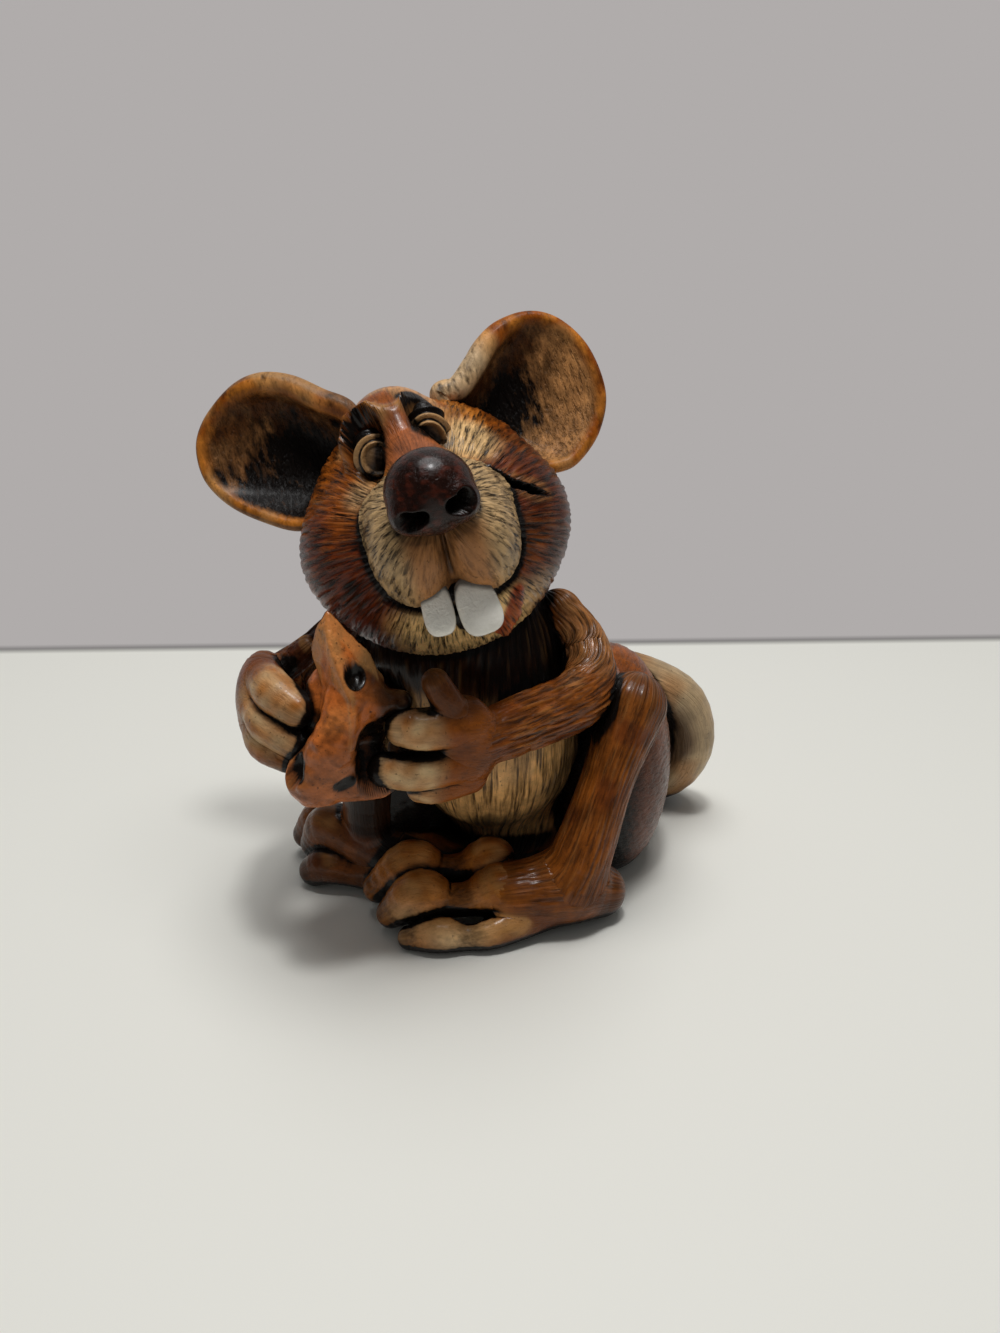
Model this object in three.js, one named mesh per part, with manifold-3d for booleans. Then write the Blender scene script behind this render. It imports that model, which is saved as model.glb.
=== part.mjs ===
// A seated rat figurine hugging a wedge of cheese: a rigid ornament glued up from separate castings.
// Millimetres, +Z up. The face looks along -Y, and the rat's own left is +X.
// The origin lies on the flat underside that the figurine sits on, below the middle of the body.
import * as THREE from "three";
import { mergeVertices } from "three/addons/utils/BufferGeometryUtils.js";
import Module from "manifold-3d";

const wasm = await Module();
wasm.setup();

// Fits
const SEAM = 0.3; // glue line between two castings
const PEG_RADIUS = 2.5; // moulded locating pegs
const PEG_LENGTH = 8;

// Body: a belly and a chest over a rump that is cut flat to sit on
const RUMP_WIDTH = 47;
const RUMP_DEPTH = 38;
const RUMP_HEIGHT = 42;
const RUMP_AXIS_HEIGHT = 14;
const RUMP_SETBACK = 9;
const BELLY_WIDTH = 39;
const BELLY_DEPTH = 42;
const BELLY_HEIGHT = 42;
const BELLY_AXIS_HEIGHT = 35;
const BELLY_LEAN = 3; // sideways lean towards the cheese
const BELLY_FORWARD = 3;
const CHEST_WIDTH = 41;
const CHEST_DEPTH = 32;
const CHEST_HEIGHT = 30;
const CHEST_AXIS_HEIGHT = 51;
const CHEST_LEAN = 9;
const CHEST_FORWARD = 3;

// Head, in its own frame about its centre: tilted back and rolled towards the rat's right
const HEAD_WIDTH = 47;
const HEAD_HEIGHT = 46;
const HEAD_DEPTH = 46;
const HEAD_TILT = 25;
const HEAD_ROLL = 15;
const HEAD_SINK = 10; // how deep the head is set into the chest
const HEAD_LEAN = 5.5; // further sideways lean beyond the chest
const HEAD_FORWARD = 6;
const FACE_OFFSET = 1.4; // the nose and mouth sit a little off the middle of the skull
const SKULL_BACK = 3; // the skull's own place about the head's centre
const SKULL_DROP = 2;
const CHEEK_DIAMETER = 29;
const CHEEK_INSET = 13; // in from the side of the head
const CHEEK_FORWARD = 6;
const CHEEK_DROP = 6;
const JAW_WIDTH = 37;
const JAW_HEIGHT = 24;
const JAW_DEPTH = 34;
const JAW_FORWARD = 5;
const JAW_DROP = 4.5; // below the head
const JOWL_WIDTH = 23; // full corner between cheek and jaw
const JOWL_HEIGHT = 20;
const JOWL_DEPTH = 22;
const JOWL_SPACING = 22;
const BROW_WIDTH = 19.6;
const BROW_HEIGHT = 22;
const BROW_DEPTH = 23.2;
const BROW_OFFSET = -2.4;
const BROW_FORWARD = 8.2;
const BROW_DROP = 11.7; // below the top of the head
const BRIDGE_RADIUS = 4.6; // bridge of the nose between the eyes: thinner above, stouter at the nose
const EYE_WIDTH = 7.4;
const EYE_HEIGHT = 10;
const EYE_DEPTH = 8.8;
const EYE_SPACING = 10.5;
const EYE_OFFSET = -1.55;
const EYE_INSET = 8.4; // behind the front of the head
const EYE_RISE = 10.4;
const EYE_TIP = 1; // the left eye sits this much above, and the right below
const SOCKET_WIDTH = 7.9; // hollow that each eye sits in
const SOCKET_HEIGHT = 11.8;
const SOCKET_DEPTH = 11.4;
const LIP_RADIUS = 2.2; // groove of the lips under the muzzle, finer where it runs up beside it
const MUZZLE_WIDTH = 25;
const MUZZLE_HEIGHT = 20;
const MUZZLE_DEPTH = 24;
const MUZZLE_OVERLAP = 3; // the two pads run into each other
const MUZZLE_FORWARD = 21;
const MUZZLE_DROP = 8.5;
const NOSE_DIAMETER = 15.5;
const NOSE_FORWARD = 36;
const NOSE_DROP = 2.3;
const NOSTRIL_RADIUS = 2;
const TOOTH_LEFT_WIDTH = 8.4;
const TOOTH_RIGHT_WIDTH = 6.6;
const TOOTH_HEIGHT = 12;
const TOOTH_THICKNESS = 3.6;
const TOOTH_GAP = 0.9;
const TOOTH_FORWARD = 23;
const TOOTH_RISE = 2; // tips above the chin
const TOOTH_OFFSET = -1; // from the middle of the face
const EAR_WIDTH = 28;
const EAR_HEIGHT = 31;
const EAR_DEPTH = 13;
const EAR_WALL = 2.6;
const EAR_SPLAY = 16;
const EAR_OFFSET = 1.2; // the ears sit a little towards the rat's right
const EAR_REACH = 4.2; // centre of the cup beyond the side of the head
const EAR_BACK = 3;
const EAR_RISE = 18.3;
const EAR_RIM_RADIUS = 2.5; // rolled upper rim that runs down to the brow
const EAR_ROOT_WIDTH = 26; // web behind the cup that joins it to the head
const EAR_ROOT_HEIGHT = 22;
const EAR_BOWL_WIDTH = 18; // deep end of the cup, beside the head
const EAR_BOWL_HEIGHT = 20;
const EAR_BOWL_DEPTH = 16;

// Cheese wedge: a ridged front edge, a spur to the left hand, a thick foot and a core behind
const CHEESE_HEIGHT = 35;
const CHEESE_WIDTH = 23;
const CHEESE_DEPTH = 20;
const CHEESE_EDGE_RADIUS = 4.7; // front edge at the foot
const CHEESE_INSET = 2; // in from the side of the chest
const CHEESE_REACH = 16; // in front of the chest
const CHEESE_HOLE_WIDTH = 5;
const CHEESE_BITE_WIDTH = 8.8;

// Arms and hands
const UPPER_ARM_RADIUS = 4.8;
const ELBOW_RADIUS = 5.6;
const WRIST_RADIUS = 4.6;
const PALM_LENGTH = 18;
const PALM_WIDTH = 13;
const PALM_THICKNESS = 10.5;
const FINGER_RADIUS = 3.2;
const FINGER_LENGTH = 11;
const FINGER_LEFT_PITCH = 6.6;
const FINGER_RIGHT_PITCH = 4.8;
const THUMB_RADIUS = 2.8;
const THUMB_LENGTH = 9;

// Legs, feet and tail
const THIGH_WIDTH = 26;
const THIGH_DEPTH = 37;
const THIGH_HEIGHT = 50;
const KNEE_RADIUS = 7;
const SHIN_RADIUS = 5.4;
const ANKLE_RADIUS = 6.6;
const FOOT_RADIUS = 7.6;
const HEEL_RADIUS = 6.2;
const TOE_KNUCKLE_RADIUS = 4.2;
const TOE_RADIUS = 3.4;
const TOE_PITCH = 6;
const TOE_LEFT_LENGTH = 21;
const TOE_RIGHT_LENGTH = 14;
const TAIL_ROOT_RADIUS = 6.2;
const TAIL_TIP_RADIUS = 3.2;

// Facets: sides of a round form, and rings along it
const LARGE_BALL_SIDES = 18;
const BALL_SIDES = 14;
const SMALL_BALL_SIDES = 8;
const LIMB_SIDES = 9;
const ARM_SIDES = 14;
const LIMB_RINGS = 13;
const FINGER_SIDES = 7;
const FINGER_RINGS = 10;
const CAP_RINGS = 2;

const radians = THREE.MathUtils.degToRad;
const LEFT = 1;
const RIGHT = -1;
const SIDES = [[LEFT, "left"], [RIGHT, "right"]];
const DIGITS = [0, 1, 2];
const shift = (point, dx, dy, dz) => [point[0] + dx, point[1] + dy, point[2] + dz];

// Makers of geometry: each gives a function that makes one closed geometry, grown outwards by a clearance

// An ellipsoid of three full sizes about a centre, turned by three angles in degrees.
function ball(centre, sizes, turn = [0, 0, 0], sides = BALL_SIDES) {
  return (grow) => {
    const geometry = new THREE.SphereGeometry(1, sides, Math.round(sides * 0.7));
    geometry.rotateX(Math.PI / 2);
    geometry.scale(...sizes.map((size) => size / 2 + grow));
    geometry.applyMatrix4(new THREE.Matrix4().makeRotationFromEuler(new THREE.Euler(...turn.map(radians))));
    return geometry.translate(...centre);
  };
}

const round = (centre, radius) =>
  ball(centre, [2 * radius, 2 * radius, 2 * radius], [0, 0, 0], SMALL_BALL_SIDES);

// A limb: the rings of a sphere carried along a curve through the points, with a radius at each point.
// The first and last rings close it in round tips.
function limb(points, radii, sides = LIMB_SIDES, rings = LIMB_RINGS) {
  return (grow) => {
    const path = new THREE.CatmullRomCurve3(points.map((point) => new THREE.Vector3(...point)));
    const girth = new THREE.CatmullRomCurve3(radii.map((radius) => new THREE.Vector3(radius, 0, 0)));
    const steps = rings - 2 * CAP_RINGS;
    const frames = path.computeFrenetFrames(steps, false);
    const geometry = new THREE.SphereGeometry(1, sides, rings);
    const position = geometry.attributes.position;
    for (let i = 0; i < position.count; i += 1) {
      const ring = Math.floor(i / (sides + 1));
      const turn = ((i % (sides + 1)) / sides) * 2 * Math.PI;
      const step = THREE.MathUtils.clamp(ring - CAP_RINGS, 0, steps);
      const rise = ((ring - CAP_RINGS - step) / CAP_RINGS) * (Math.PI / 2);
      const share = step / steps;
      const radius = girth.getPoint(path.getUtoTmapping(share)).x + grow;
      const point = path.getPointAt(share);
      point.addScaledVector(frames.tangents[step], radius * Math.sin(rise));
      point.addScaledVector(frames.normals[step], radius * Math.cos(rise) * Math.cos(turn));
      point.addScaledVector(frames.binormals[step], -radius * Math.cos(rise) * Math.sin(turn));
      position.setXYZ(i, point.x, point.y, point.z);
    }
    return geometry;
  };
}

const finger = (points, radii) => limb(points, radii, FINGER_SIDES, FINGER_RINGS);

// A round peg that starts at a point and runs along a direction.
function peg(start, direction, radius = PEG_RADIUS, length = PEG_LENGTH) {
  const along = new THREE.Vector3(...direction).normalize();
  return (grow) => {
    const girth = radius + grow;
    const geometry = new THREE.CylinderGeometry(girth, girth, length + grow, SMALL_BALL_SIDES);
    geometry.translate(0, (length + grow) / 2, 0);
    geometry.applyQuaternion(new THREE.Quaternion().setFromUnitVectors(new THREE.Vector3(0, 1, 0), along));
    return geometry.translate(...start);
  };
}

// Solids

function solid(geometry) {
  geometry.deleteAttribute("normal");
  geometry.deleteAttribute("uv");
  const merged = mergeVertices(geometry, 1e-4);
  const vertProperties = merged.attributes.position.array;
  const triVerts = new Uint32Array(merged.index.array);
  return new wasm.Manifold(new wasm.Mesh({ numProp: 3, vertProperties, triVerts }));
}

// All makers of a form, grown by a clearance and set in a frame, joined into one solid.
function fuse(form, grow = 0, frame = new THREE.Matrix4()) {
  const solids = form.map((make) => solid(make(grow).applyMatrix4(frame)));
  return solids.reduce((joined, next) => joined.add(next));
}

function meshOf(name, body, material) {
  const { vertProperties, triVerts } = body.getMesh();
  const geometry = new THREE.BufferGeometry();
  geometry.setAttribute("position", new THREE.BufferAttribute(vertProperties, 3));
  geometry.setIndex(new THREE.BufferAttribute(triVerts, 1));
  geometry.computeVertexNormals();
  const mesh = new THREE.Mesh(geometry, material);
  mesh.name = name;
  return mesh;
}

// Materials: hand-painted resin in browns and creams
const paint = (color, roughness) => new THREE.MeshStandardMaterial({ color, roughness, metalness: 0 });
const FUR = paint(0x7a4420, 0.45);
const CREAM = paint(0xb59b74, 0.45);
const NOSE_BROWN = paint(0x2e1710, 0.25);
const TOOTH_WHITE = paint(0xe4e2da, 0.2);
const CHEESE_ORANGE = paint(0xb2602c, 0.4);
const EAR_TAN = paint(0x8a6038, 0.45);

// Groups: the head stands turned in the figurine

const chest = [-CHEST_LEAN, -CHEST_FORWARD, CHEST_AXIS_HEIGHT];
const headHeight = CHEST_AXIS_HEIGHT + CHEST_HEIGHT / 2 + HEAD_HEIGHT / 2 - HEAD_SINK;
const figurine = new THREE.Group();
const head = new THREE.Group();
head.position.set(chest[0] - HEAD_LEAN, -HEAD_FORWARD, headHeight);
head.rotation.set(radians(-HEAD_TILT), radians(-HEAD_ROLL), 0);
const cheeseCentre = shift(chest, CHEESE_INSET - CHEST_WIDTH / 2, -CHEST_DEPTH / 2 - CHEESE_REACH, 0);
figurine.add(head);
for (const group of [figurine, head]) group.updateMatrix();
const headFrame = head.matrix;

// Head forms, in the head's frame

const jawBottom = -HEAD_HEIGHT / 2 - JAW_DROP;
const browCentre = [BROW_OFFSET, -BROW_FORWARD, HEAD_HEIGHT / 2 - BROW_DROP];
const cheekSizes = [CHEEK_DIAMETER, CHEEK_DIAMETER, CHEEK_DIAMETER];
const bridge = limb(
  [shift(browCentre, 0.9, -9.7, 3.3), shift(browCentre, 1.3, -10, -0.5), shift(browCentre, 1.8, -9.8, -3.3),
    [FACE_OFFSET, 12 - NOSE_FORWARD, 1]],
  [0.45, 0.65, 1, 1.3].map((share) => share * BRIDGE_RADIUS));
const headForm = [
  ball([0, SKULL_BACK, -SKULL_DROP], [HEAD_WIDTH, HEAD_DEPTH, HEAD_HEIGHT], [0, 0, 0], LARGE_BALL_SIDES),
  ball([0, -JAW_FORWARD, jawBottom + JAW_HEIGHT / 2], [JAW_WIDTH, JAW_DEPTH, JAW_HEIGHT]),
  ball(browCentre, [BROW_WIDTH, BROW_DEPTH, BROW_HEIGHT]),
  bridge,
  ...[LEFT, RIGHT].flatMap((side) => [
    ball([side * (HEAD_WIDTH / 2 - CHEEK_INSET), -CHEEK_FORWARD, -CHEEK_DROP], cheekSizes),
    ball(
      [(side * JOWL_SPACING) / 2, -CHEEK_FORWARD / 2, -2 * CHEEK_DROP],
      [JOWL_WIDTH, JOWL_DEPTH, JOWL_HEIGHT]),
  ]),
];
const eyeCentre = (side) =>
  [EYE_OFFSET + (side * EYE_SPACING) / 2, EYE_INSET - HEAD_DEPTH / 2, EYE_RISE + side * EYE_TIP];
const eyeForm = (side) => [
  ball(eyeCentre(side), [EYE_WIDTH, EYE_DEPTH, EYE_HEIGHT]),
];
const socketCut = (side) =>
  ball(shift(eyeCentre(side), 0, -5, 1), [SOCKET_WIDTH, SOCKET_DEPTH, SOCKET_HEIGHT]);
const eyes = [...eyeForm(LEFT), ...eyeForm(RIGHT)];

const padSizes = [MUZZLE_WIDTH / 2 + MUZZLE_OVERLAP, MUZZLE_DEPTH, MUZZLE_HEIGHT];
const muzzleForm = [LEFT, RIGHT].map((side) =>
  ball([FACE_OFFSET + (side * MUZZLE_WIDTH) / 4, -MUZZLE_FORWARD, -MUZZLE_DROP], padSizes));
// The lips' groove: places round the muzzle in half widths and half heights of it, with millimetres back.
const lipPlaces = [
  [-1.03, 4, 0.85], [-1.14, 4, 0], [-1, 3, -0.68], [-0.64, 1.5, -1.11], [0.05, 0, -1.25],
  [0.65, 1.5, -1.17], [0.96, 3.5, -0.73], [1.08, 4.5, -0.15], [1.06, 4.5, 0.45],
];
const lipCut = limb(
  lipPlaces.map(([across, back, up]) => [
    FACE_OFFSET + (across * MUZZLE_WIDTH) / 2,
    back - MUZZLE_FORWARD,
    (up * MUZZLE_HEIGHT) / 2 - MUZZLE_DROP,
  ]),
  [0.15, 0.3, 0.4, 0.6, 1, 0.9, 0.7, 0.4, 0.15].map((share) => share * LIP_RADIUS),
  FINGER_SIDES, 2 * LIMB_RINGS);
const noseCentre = [FACE_OFFSET, -NOSE_FORWARD, -NOSE_DROP];
const noseForm = [ball(noseCentre, [NOSE_DIAMETER, NOSE_DIAMETER, NOSE_DIAMETER])];
const nostrilCut = (side) => {
  const reach = NOSE_DIAMETER * 0.3;
  return round(shift(noseCentre, side * reach * 0.8, -reach, -reach), NOSTRIL_RADIUS);
};
const nosePeg = peg(shift(noseCentre, 0, NOSE_DIAMETER / 2 - 2, 0), [0, 1, 0]);

const toothForm = (side) => {
  const width = side === LEFT ? TOOTH_LEFT_WIDTH : TOOTH_RIGHT_WIDTH;
  const across = FACE_OFFSET + TOOTH_OFFSET + (side * (width + TOOTH_GAP)) / 2;
  const middle = [across, -TOOTH_FORWARD, jawBottom + TOOTH_HEIGHT / 2 + TOOTH_RISE];
  return [ball(middle, [width, TOOTH_THICKNESS, TOOTH_HEIGHT], [0, 0, 0], SMALL_BALL_SIDES)];
};

const earCentre = (side) => [side * (HEAD_WIDTH / 2 + EAR_REACH) - EAR_OFFSET, EAR_BACK, EAR_RISE];
const earTurn = (side) => [0, 0, side * EAR_SPLAY];
const earRoot = (side) => shift(earCentre(side), -side * 9, 3, -4.5);
const earForm = (side) => {
  const top = shift(earCentre(side), -side * EAR_WIDTH * 0.22, 0, EAR_HEIGHT / 2 - EAR_RIM_RADIUS - 1.5);
  const brow = [side * 7, 0, HEAD_HEIGHT / 2 - 5];
  const middle = [(brow[0] + top[0]) / 2 + side, 0, (brow[2] + top[2]) / 2 - 1.5];
  return [
    ball(earCentre(side), [EAR_WIDTH, EAR_DEPTH, EAR_HEIGHT], earTurn(side)),
    finger([brow, middle, top], [EAR_RIM_RADIUS, EAR_RIM_RADIUS, EAR_RIM_RADIUS]),
    ball(earRoot(side), [EAR_ROOT_WIDTH, EAR_DEPTH - 2, EAR_ROOT_HEIGHT]),
  ];
};
const earCup = (side) =>
  ball(
    shift(earCentre(side), 0, -EAR_WALL - 1.5, 0),
    [EAR_WIDTH - 2 * EAR_WALL, EAR_DEPTH, EAR_HEIGHT - 2 * EAR_WALL], earTurn(side));
const earBowl = (side) =>
  ball(
    shift(earCentre(side), -side * 8, 3.8 - EAR_BOWL_DEPTH / 2, -3),
    [EAR_BOWL_WIDTH, EAR_BOWL_DEPTH, EAR_BOWL_HEIGHT]);
const earPeg = (side) => peg(shift(earRoot(side), side * 3, 2, -5), [-side, 0, -0.5]);
const neckPeg = peg([0, 10, -HEAD_HEIGHT / 2 + 6], [0, 0, -1], 2 * PEG_RADIUS, 2 * PEG_LENGTH);

// Body form

const rump = [0, RUMP_SETBACK, RUMP_AXIS_HEIGHT];
const belly = [-BELLY_LEAN, -BELLY_FORWARD, BELLY_AXIS_HEIGHT];
const bodyForm = [
  limb([shift(rump, 0, 1, 2), shift(belly, 0, 6, 2), shift(chest, 0, 2, 3)],
    [RUMP_DEPTH / 2 + 0.2, BELLY_DEPTH / 2 - 2.8, CHEST_DEPTH / 2 - 2], LARGE_BALL_SIDES),
  ball(rump, [RUMP_WIDTH, RUMP_DEPTH, RUMP_HEIGHT], [0, 0, 0], LARGE_BALL_SIDES),
  ball(belly, [BELLY_WIDTH, BELLY_DEPTH, BELLY_HEIGHT], [0, 0, 0], LARGE_BALL_SIDES),
  ball(chest, [CHEST_WIDTH, CHEST_DEPTH, CHEST_HEIGHT]),
];

// Cheese forms: places in shares of the cheese's width, depth and height about its centre

const inCheese = ([across, back, up]) =>
  shift(cheeseCentre, across * CHEESE_WIDTH, back * CHEESE_DEPTH, up * CHEESE_HEIGHT);
const cheeseRoll = (places, shares) =>
  limb(places.map(inCheese), shares.map((share) => share * CHEESE_EDGE_RADIUS));
const cheeseForm = [
  cheeseRoll(
    [[-0.135, -0.05, 0.503], [-0.122, -0.18, 0.371], [-0.1, -0.27, 0.2], [-0.061, -0.33, 0.057],
      [-0.126, -0.34, -0.114], [-0.265, -0.28, -0.286]],
    [0.4, 0.51, 0.64, 0.77, 0.89, 1]),
  cheeseRoll([[-0.022, -0.23, 0.114], [0.178, -0.155, 0.123], [0.378, -0.08, 0.131]], [0.68, 0.64, 0.6]),
  cheeseRoll([[-0.283, -0.25, -0.303], [-0.056, -0.225, -0.294], [0.17, -0.2, -0.286]], [1, 1, 0.98]),
  ball(inCheese([0, 0.12, -0.03]), [0.82 * CHEESE_WIDTH, 0.68 * CHEESE_DEPTH, 0.86 * CHEESE_HEIGHT]),
];
const hole = (place, width, deep, high) =>
  ball(inCheese(place), [width, deep * width, high * width], [0, 0, 0], SMALL_BALL_SIDES);
const cheeseCuts = [
  hole([0.126, -0.27, 0.291], CHEESE_HOLE_WIDTH, 1.6, 1.2),
  hole([0.01, -0.48, -0.303], CHEESE_HOLE_WIDTH, 1.4, 0.7),
  hole([-0.448, -0.41, -0.234], CHEESE_HOLE_WIDTH, 1.3, 1),
  hole([0.265, -0.4, -0.08], CHEESE_BITE_WIDTH, 1.2, 0.95),
];

// Arm and hand forms

const shoulder = (side) => [chest[0] + side * (CHEST_WIDTH / 2 - 1), chest[1] - 1, chest[2] + 6];
const upperArm = { left: shift(shoulder(LEFT), 5, -4, -6), right: shift(shoulder(RIGHT), -8, 0, -8) };
const shoulderPeg = (side) => {
  const below = side === LEFT ? upperArm.left : upperArm.right;
  const middle = shoulder(side).map((place, axis) => (place + below[axis]) / 2);
  return peg(middle, [-side, 0, -0.6]);
};
const palm = {
  left: shift(cheeseCentre, CHEESE_WIDTH / 2 + 8.5, -1, -6),
  right: shift(cheeseCentre, -CHEESE_WIDTH / 2 - 6.3, 12, -3.5),
};
const armForm = {
  left: [limb(
    [shoulder(LEFT), upperArm.left, shift(upperArm.left, -0.5, -8, -6), shift(palm.left, 10, 7, 0),
      shift(palm.left, 3, 1, 0)],
    [UPPER_ARM_RADIUS, UPPER_ARM_RADIUS, ELBOW_RADIUS, ELBOW_RADIUS, WRIST_RADIUS],
    ARM_SIDES, 2 * LIMB_RINGS)],
  right: [limb(
    [shoulder(RIGHT), upperArm.right, shift(palm.right, 1, 13, -3), shift(palm.right, 0, 4, 0)],
    [UPPER_ARM_RADIUS, UPPER_ARM_RADIUS, ELBOW_RADIUS, WRIST_RADIUS],
    ARM_SIDES, 2 * LIMB_RINGS)],
};
const handForm = {
  left: [ball(palm.left, [PALM_WIDTH, PALM_THICKNESS, PALM_LENGTH])],
  right: [ball(palm.right, [PALM_THICKNESS, PALM_WIDTH + 4, PALM_LENGTH])],
};
const fingerForm = {
  left: (i) => {
    const root = shift(palm.left, -1, -2, FINGER_LEFT_PITCH * (0.75 - i));
    const reach = FINGER_LENGTH + [0, 2, -1][i];
    return [finger([root, shift(root, -0.6 * reach, -0.6, 0), shift(root, -reach, 0.4, 0)],
      [FINGER_RADIUS, FINGER_RADIUS, FINGER_RADIUS - 0.4])];
  },
  right: (i) => {
    const root = shift(palm.right, 1 - i, -3, FINGER_RIGHT_PITCH * (1.25 - i));
    const lift = [1.8, 0, 0][i];
    return [finger(
      [root, shift(root, 3, 3.5 - FINGER_LENGTH, lift - 0.3),
        shift(root, 8, 0.5 - FINGER_LENGTH, lift - 2.6)],
      [FINGER_RADIUS + 0.5, FINGER_RADIUS + 0.6, FINGER_RADIUS])];
  },
};
const thumbForm = {
  left: [finger(
    [shift(palm.left, 0, 0, 6), shift(palm.left, -3, -1, 10), shift(palm.left, -5, -1.5, 5 + THUMB_LENGTH)],
    [THUMB_RADIUS, THUMB_RADIUS, THUMB_RADIUS - 0.2])],
  right: [finger(
    [shift(palm.right, 1, 3, 5), shift(palm.right, 4, 3, 8), shift(palm.right, 7, 2.5, 2.5 + THUMB_LENGTH)],
    [THUMB_RADIUS, THUMB_RADIUS, THUMB_RADIUS - 0.2])],
};

// Leg and foot forms

const haunch = (side) => [side * (RUMP_WIDTH / 2 - 1.5), RUMP_SETBACK - 8, THIGH_HEIGHT / 2 - 3];
const thighForm = (side) => [ball(haunch(side), [THIGH_WIDTH, THIGH_DEPTH, THIGH_HEIGHT], [-6, 0, 0])];
const hipPeg = (side) =>
  peg(shift(haunch(side), (side * THIGH_WIDTH) / 4, 0, 0), [-side, 0, 0], PEG_RADIUS, 1.5 * PEG_LENGTH);
const knee = (side) => shift(haunch(side), side * 3, 4.5 - THIGH_DEPTH / 2, THIGH_HEIGHT / 2 - 6);
const sole = { left: shift(haunch(LEFT), -11, -28, 0), right: shift(haunch(RIGHT), 2, -14, 0) };
sole.left[2] = FOOT_RADIUS;
sole.right[2] = FOOT_RADIUS;
const ankle = { left: shift(sole.left, 4, 1, 7.5), right: shift(sole.right, -7, 0.5, 7) };
const shinRadii = [KNEE_RADIUS, SHIN_RADIUS, ANKLE_RADIUS];
const shinForm = {
  left: [limb([knee(LEFT), shift(ankle.left, 5, 5.5, 14), ankle.left], shinRadii)],
  right: [limb([knee(RIGHT), shift(ankle.right, 0, -2, 13), ankle.right], shinRadii)],
};
const heelHeight = HEEL_RADIUS - 0.5;
const footForm = {
  left: [limb(
    [shift(sole.left, 7, 2, heelHeight - FOOT_RADIUS), sole.left, shift(sole.left, -8.5, -2, 0)],
    [HEEL_RADIUS, FOOT_RADIUS, FOOT_RADIUS])],
  right: [limb(
    [shift(sole.right, 7, -1, heelHeight - FOOT_RADIUS), sole.right, shift(sole.right, -7, 1.5, 0)],
    [HEEL_RADIUS, FOOT_RADIUS, FOOT_RADIUS])],
};
const toe = (root, length, slant, drop, girth, arch) => [finger(
  [root, shift(root, -0.36 * length, 0.36 * slant, 0.8 * arch - 0.6),
    shift(root, -0.72 * length, 0.72 * slant, arch + 0.4), shift(root, -length, slant, arch - drop)],
  [TOE_KNUCKLE_RADIUS, TOE_RADIUS, TOE_KNUCKLE_RADIUS, TOE_RADIUS].map((radius) => girth * radius))];
const toeForm = {
  left: (i) => {
    const lift = [-1.1, 0.4, 0.6][i];
    const root = shift(sole.left, -7 - 3.6 * i, -8 + TOE_PITCH * i, -2.6 + 2.8 * i + lift);
    return toe(root, TOE_LEFT_LENGTH, -1, [1.4, 3.6, 5][i], [0.9, 1.1, 1.05][i], 0);
  },
  right: (i) => {
    const nearer = [0, 2.5, 0][i];
    const root = shift(sole.right, -6 - 1.5 * i + 0.8 * nearer, -4 + TOE_PITCH * i - nearer, -2.6 + 2 * i);
    return toe(root, TOE_RIGHT_LENGTH, 3.4, 2.5 + i, [1, 1.12, 1][i], [0, 3, 0][i]);
  },
};

// Tail: out of the rump, along the floor behind the left haunch, up its outer side and over to the back
const tailBack = haunch(LEFT)[1] + THIGH_DEPTH / 2 + TAIL_ROOT_RADIUS;
const tailSide = haunch(LEFT)[0] + THIGH_WIDTH / 2 + TAIL_ROOT_RADIUS;
const tailRoot = [6, RUMP_SETBACK + RUMP_DEPTH / 2 - 3, TAIL_ROOT_RADIUS];
const tailForm = [limb(
  [tailRoot, [20, tailBack + 1, TAIL_ROOT_RADIUS - 0.2], [tailSide - 6, tailBack - 3, TAIL_ROOT_RADIUS],
    [tailSide, tailBack - 8, 16], [tailSide - 2, tailBack - 10.5, 28], [tailSide - 11, tailBack - 11, 34.5],
    [tailSide - 21, tailBack - 9, 36.5], [tailSide - 31, tailBack - 9, 37]],
  [TAIL_ROOT_RADIUS, TAIL_ROOT_RADIUS, TAIL_ROOT_RADIUS, TAIL_ROOT_RADIUS - 0.2, TAIL_ROOT_RADIUS - 0.7,
    TAIL_ROOT_RADIUS - 1.2, TAIL_ROOT_RADIUS - 2, TAIL_TIP_RADIUS],
  LIMB_SIDES, 2 * LIMB_RINGS - CAP_RINGS)];
const tailPeg = peg(shift(tailRoot, 6, 2, 0), [-0.6, -1, 0.3]);

// Assembly

// The floor: what would reach below it is cut flat.
const floorCut = () => new THREE.BoxGeometry(400, 400, 100).translate(0, 0, -50);

// Each casting is cut back by the seam from those set out before it, but for the one that it sits in a
// socket of. It is hollowed by its own cuts, then gets its pegs and the sockets for other castings.
const placed = [];
function cast(group, name, material, form, { cuts = [], pegs = [], sockets = [], seat = "" } = {}) {
  const intoGroup = group.matrix.clone().invert();
  let body = fuse(form);
  for (const other of placed.filter((earlier) => earlier.name !== seat)) {
    body = body.subtract(fuse(other.form, SEAM, intoGroup.clone().multiply(other.frame)));
  }
  for (const cut of cuts) body = body.subtract(solid(cut(0)));
  for (const key of pegs) body = body.add(solid(key(0)));
  for (const key of sockets) body = body.subtract(solid(key(SEAM)));
  group.add(meshOf(name, body, material));
  placed.push({ name, form, frame: group.matrix });
}

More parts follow.
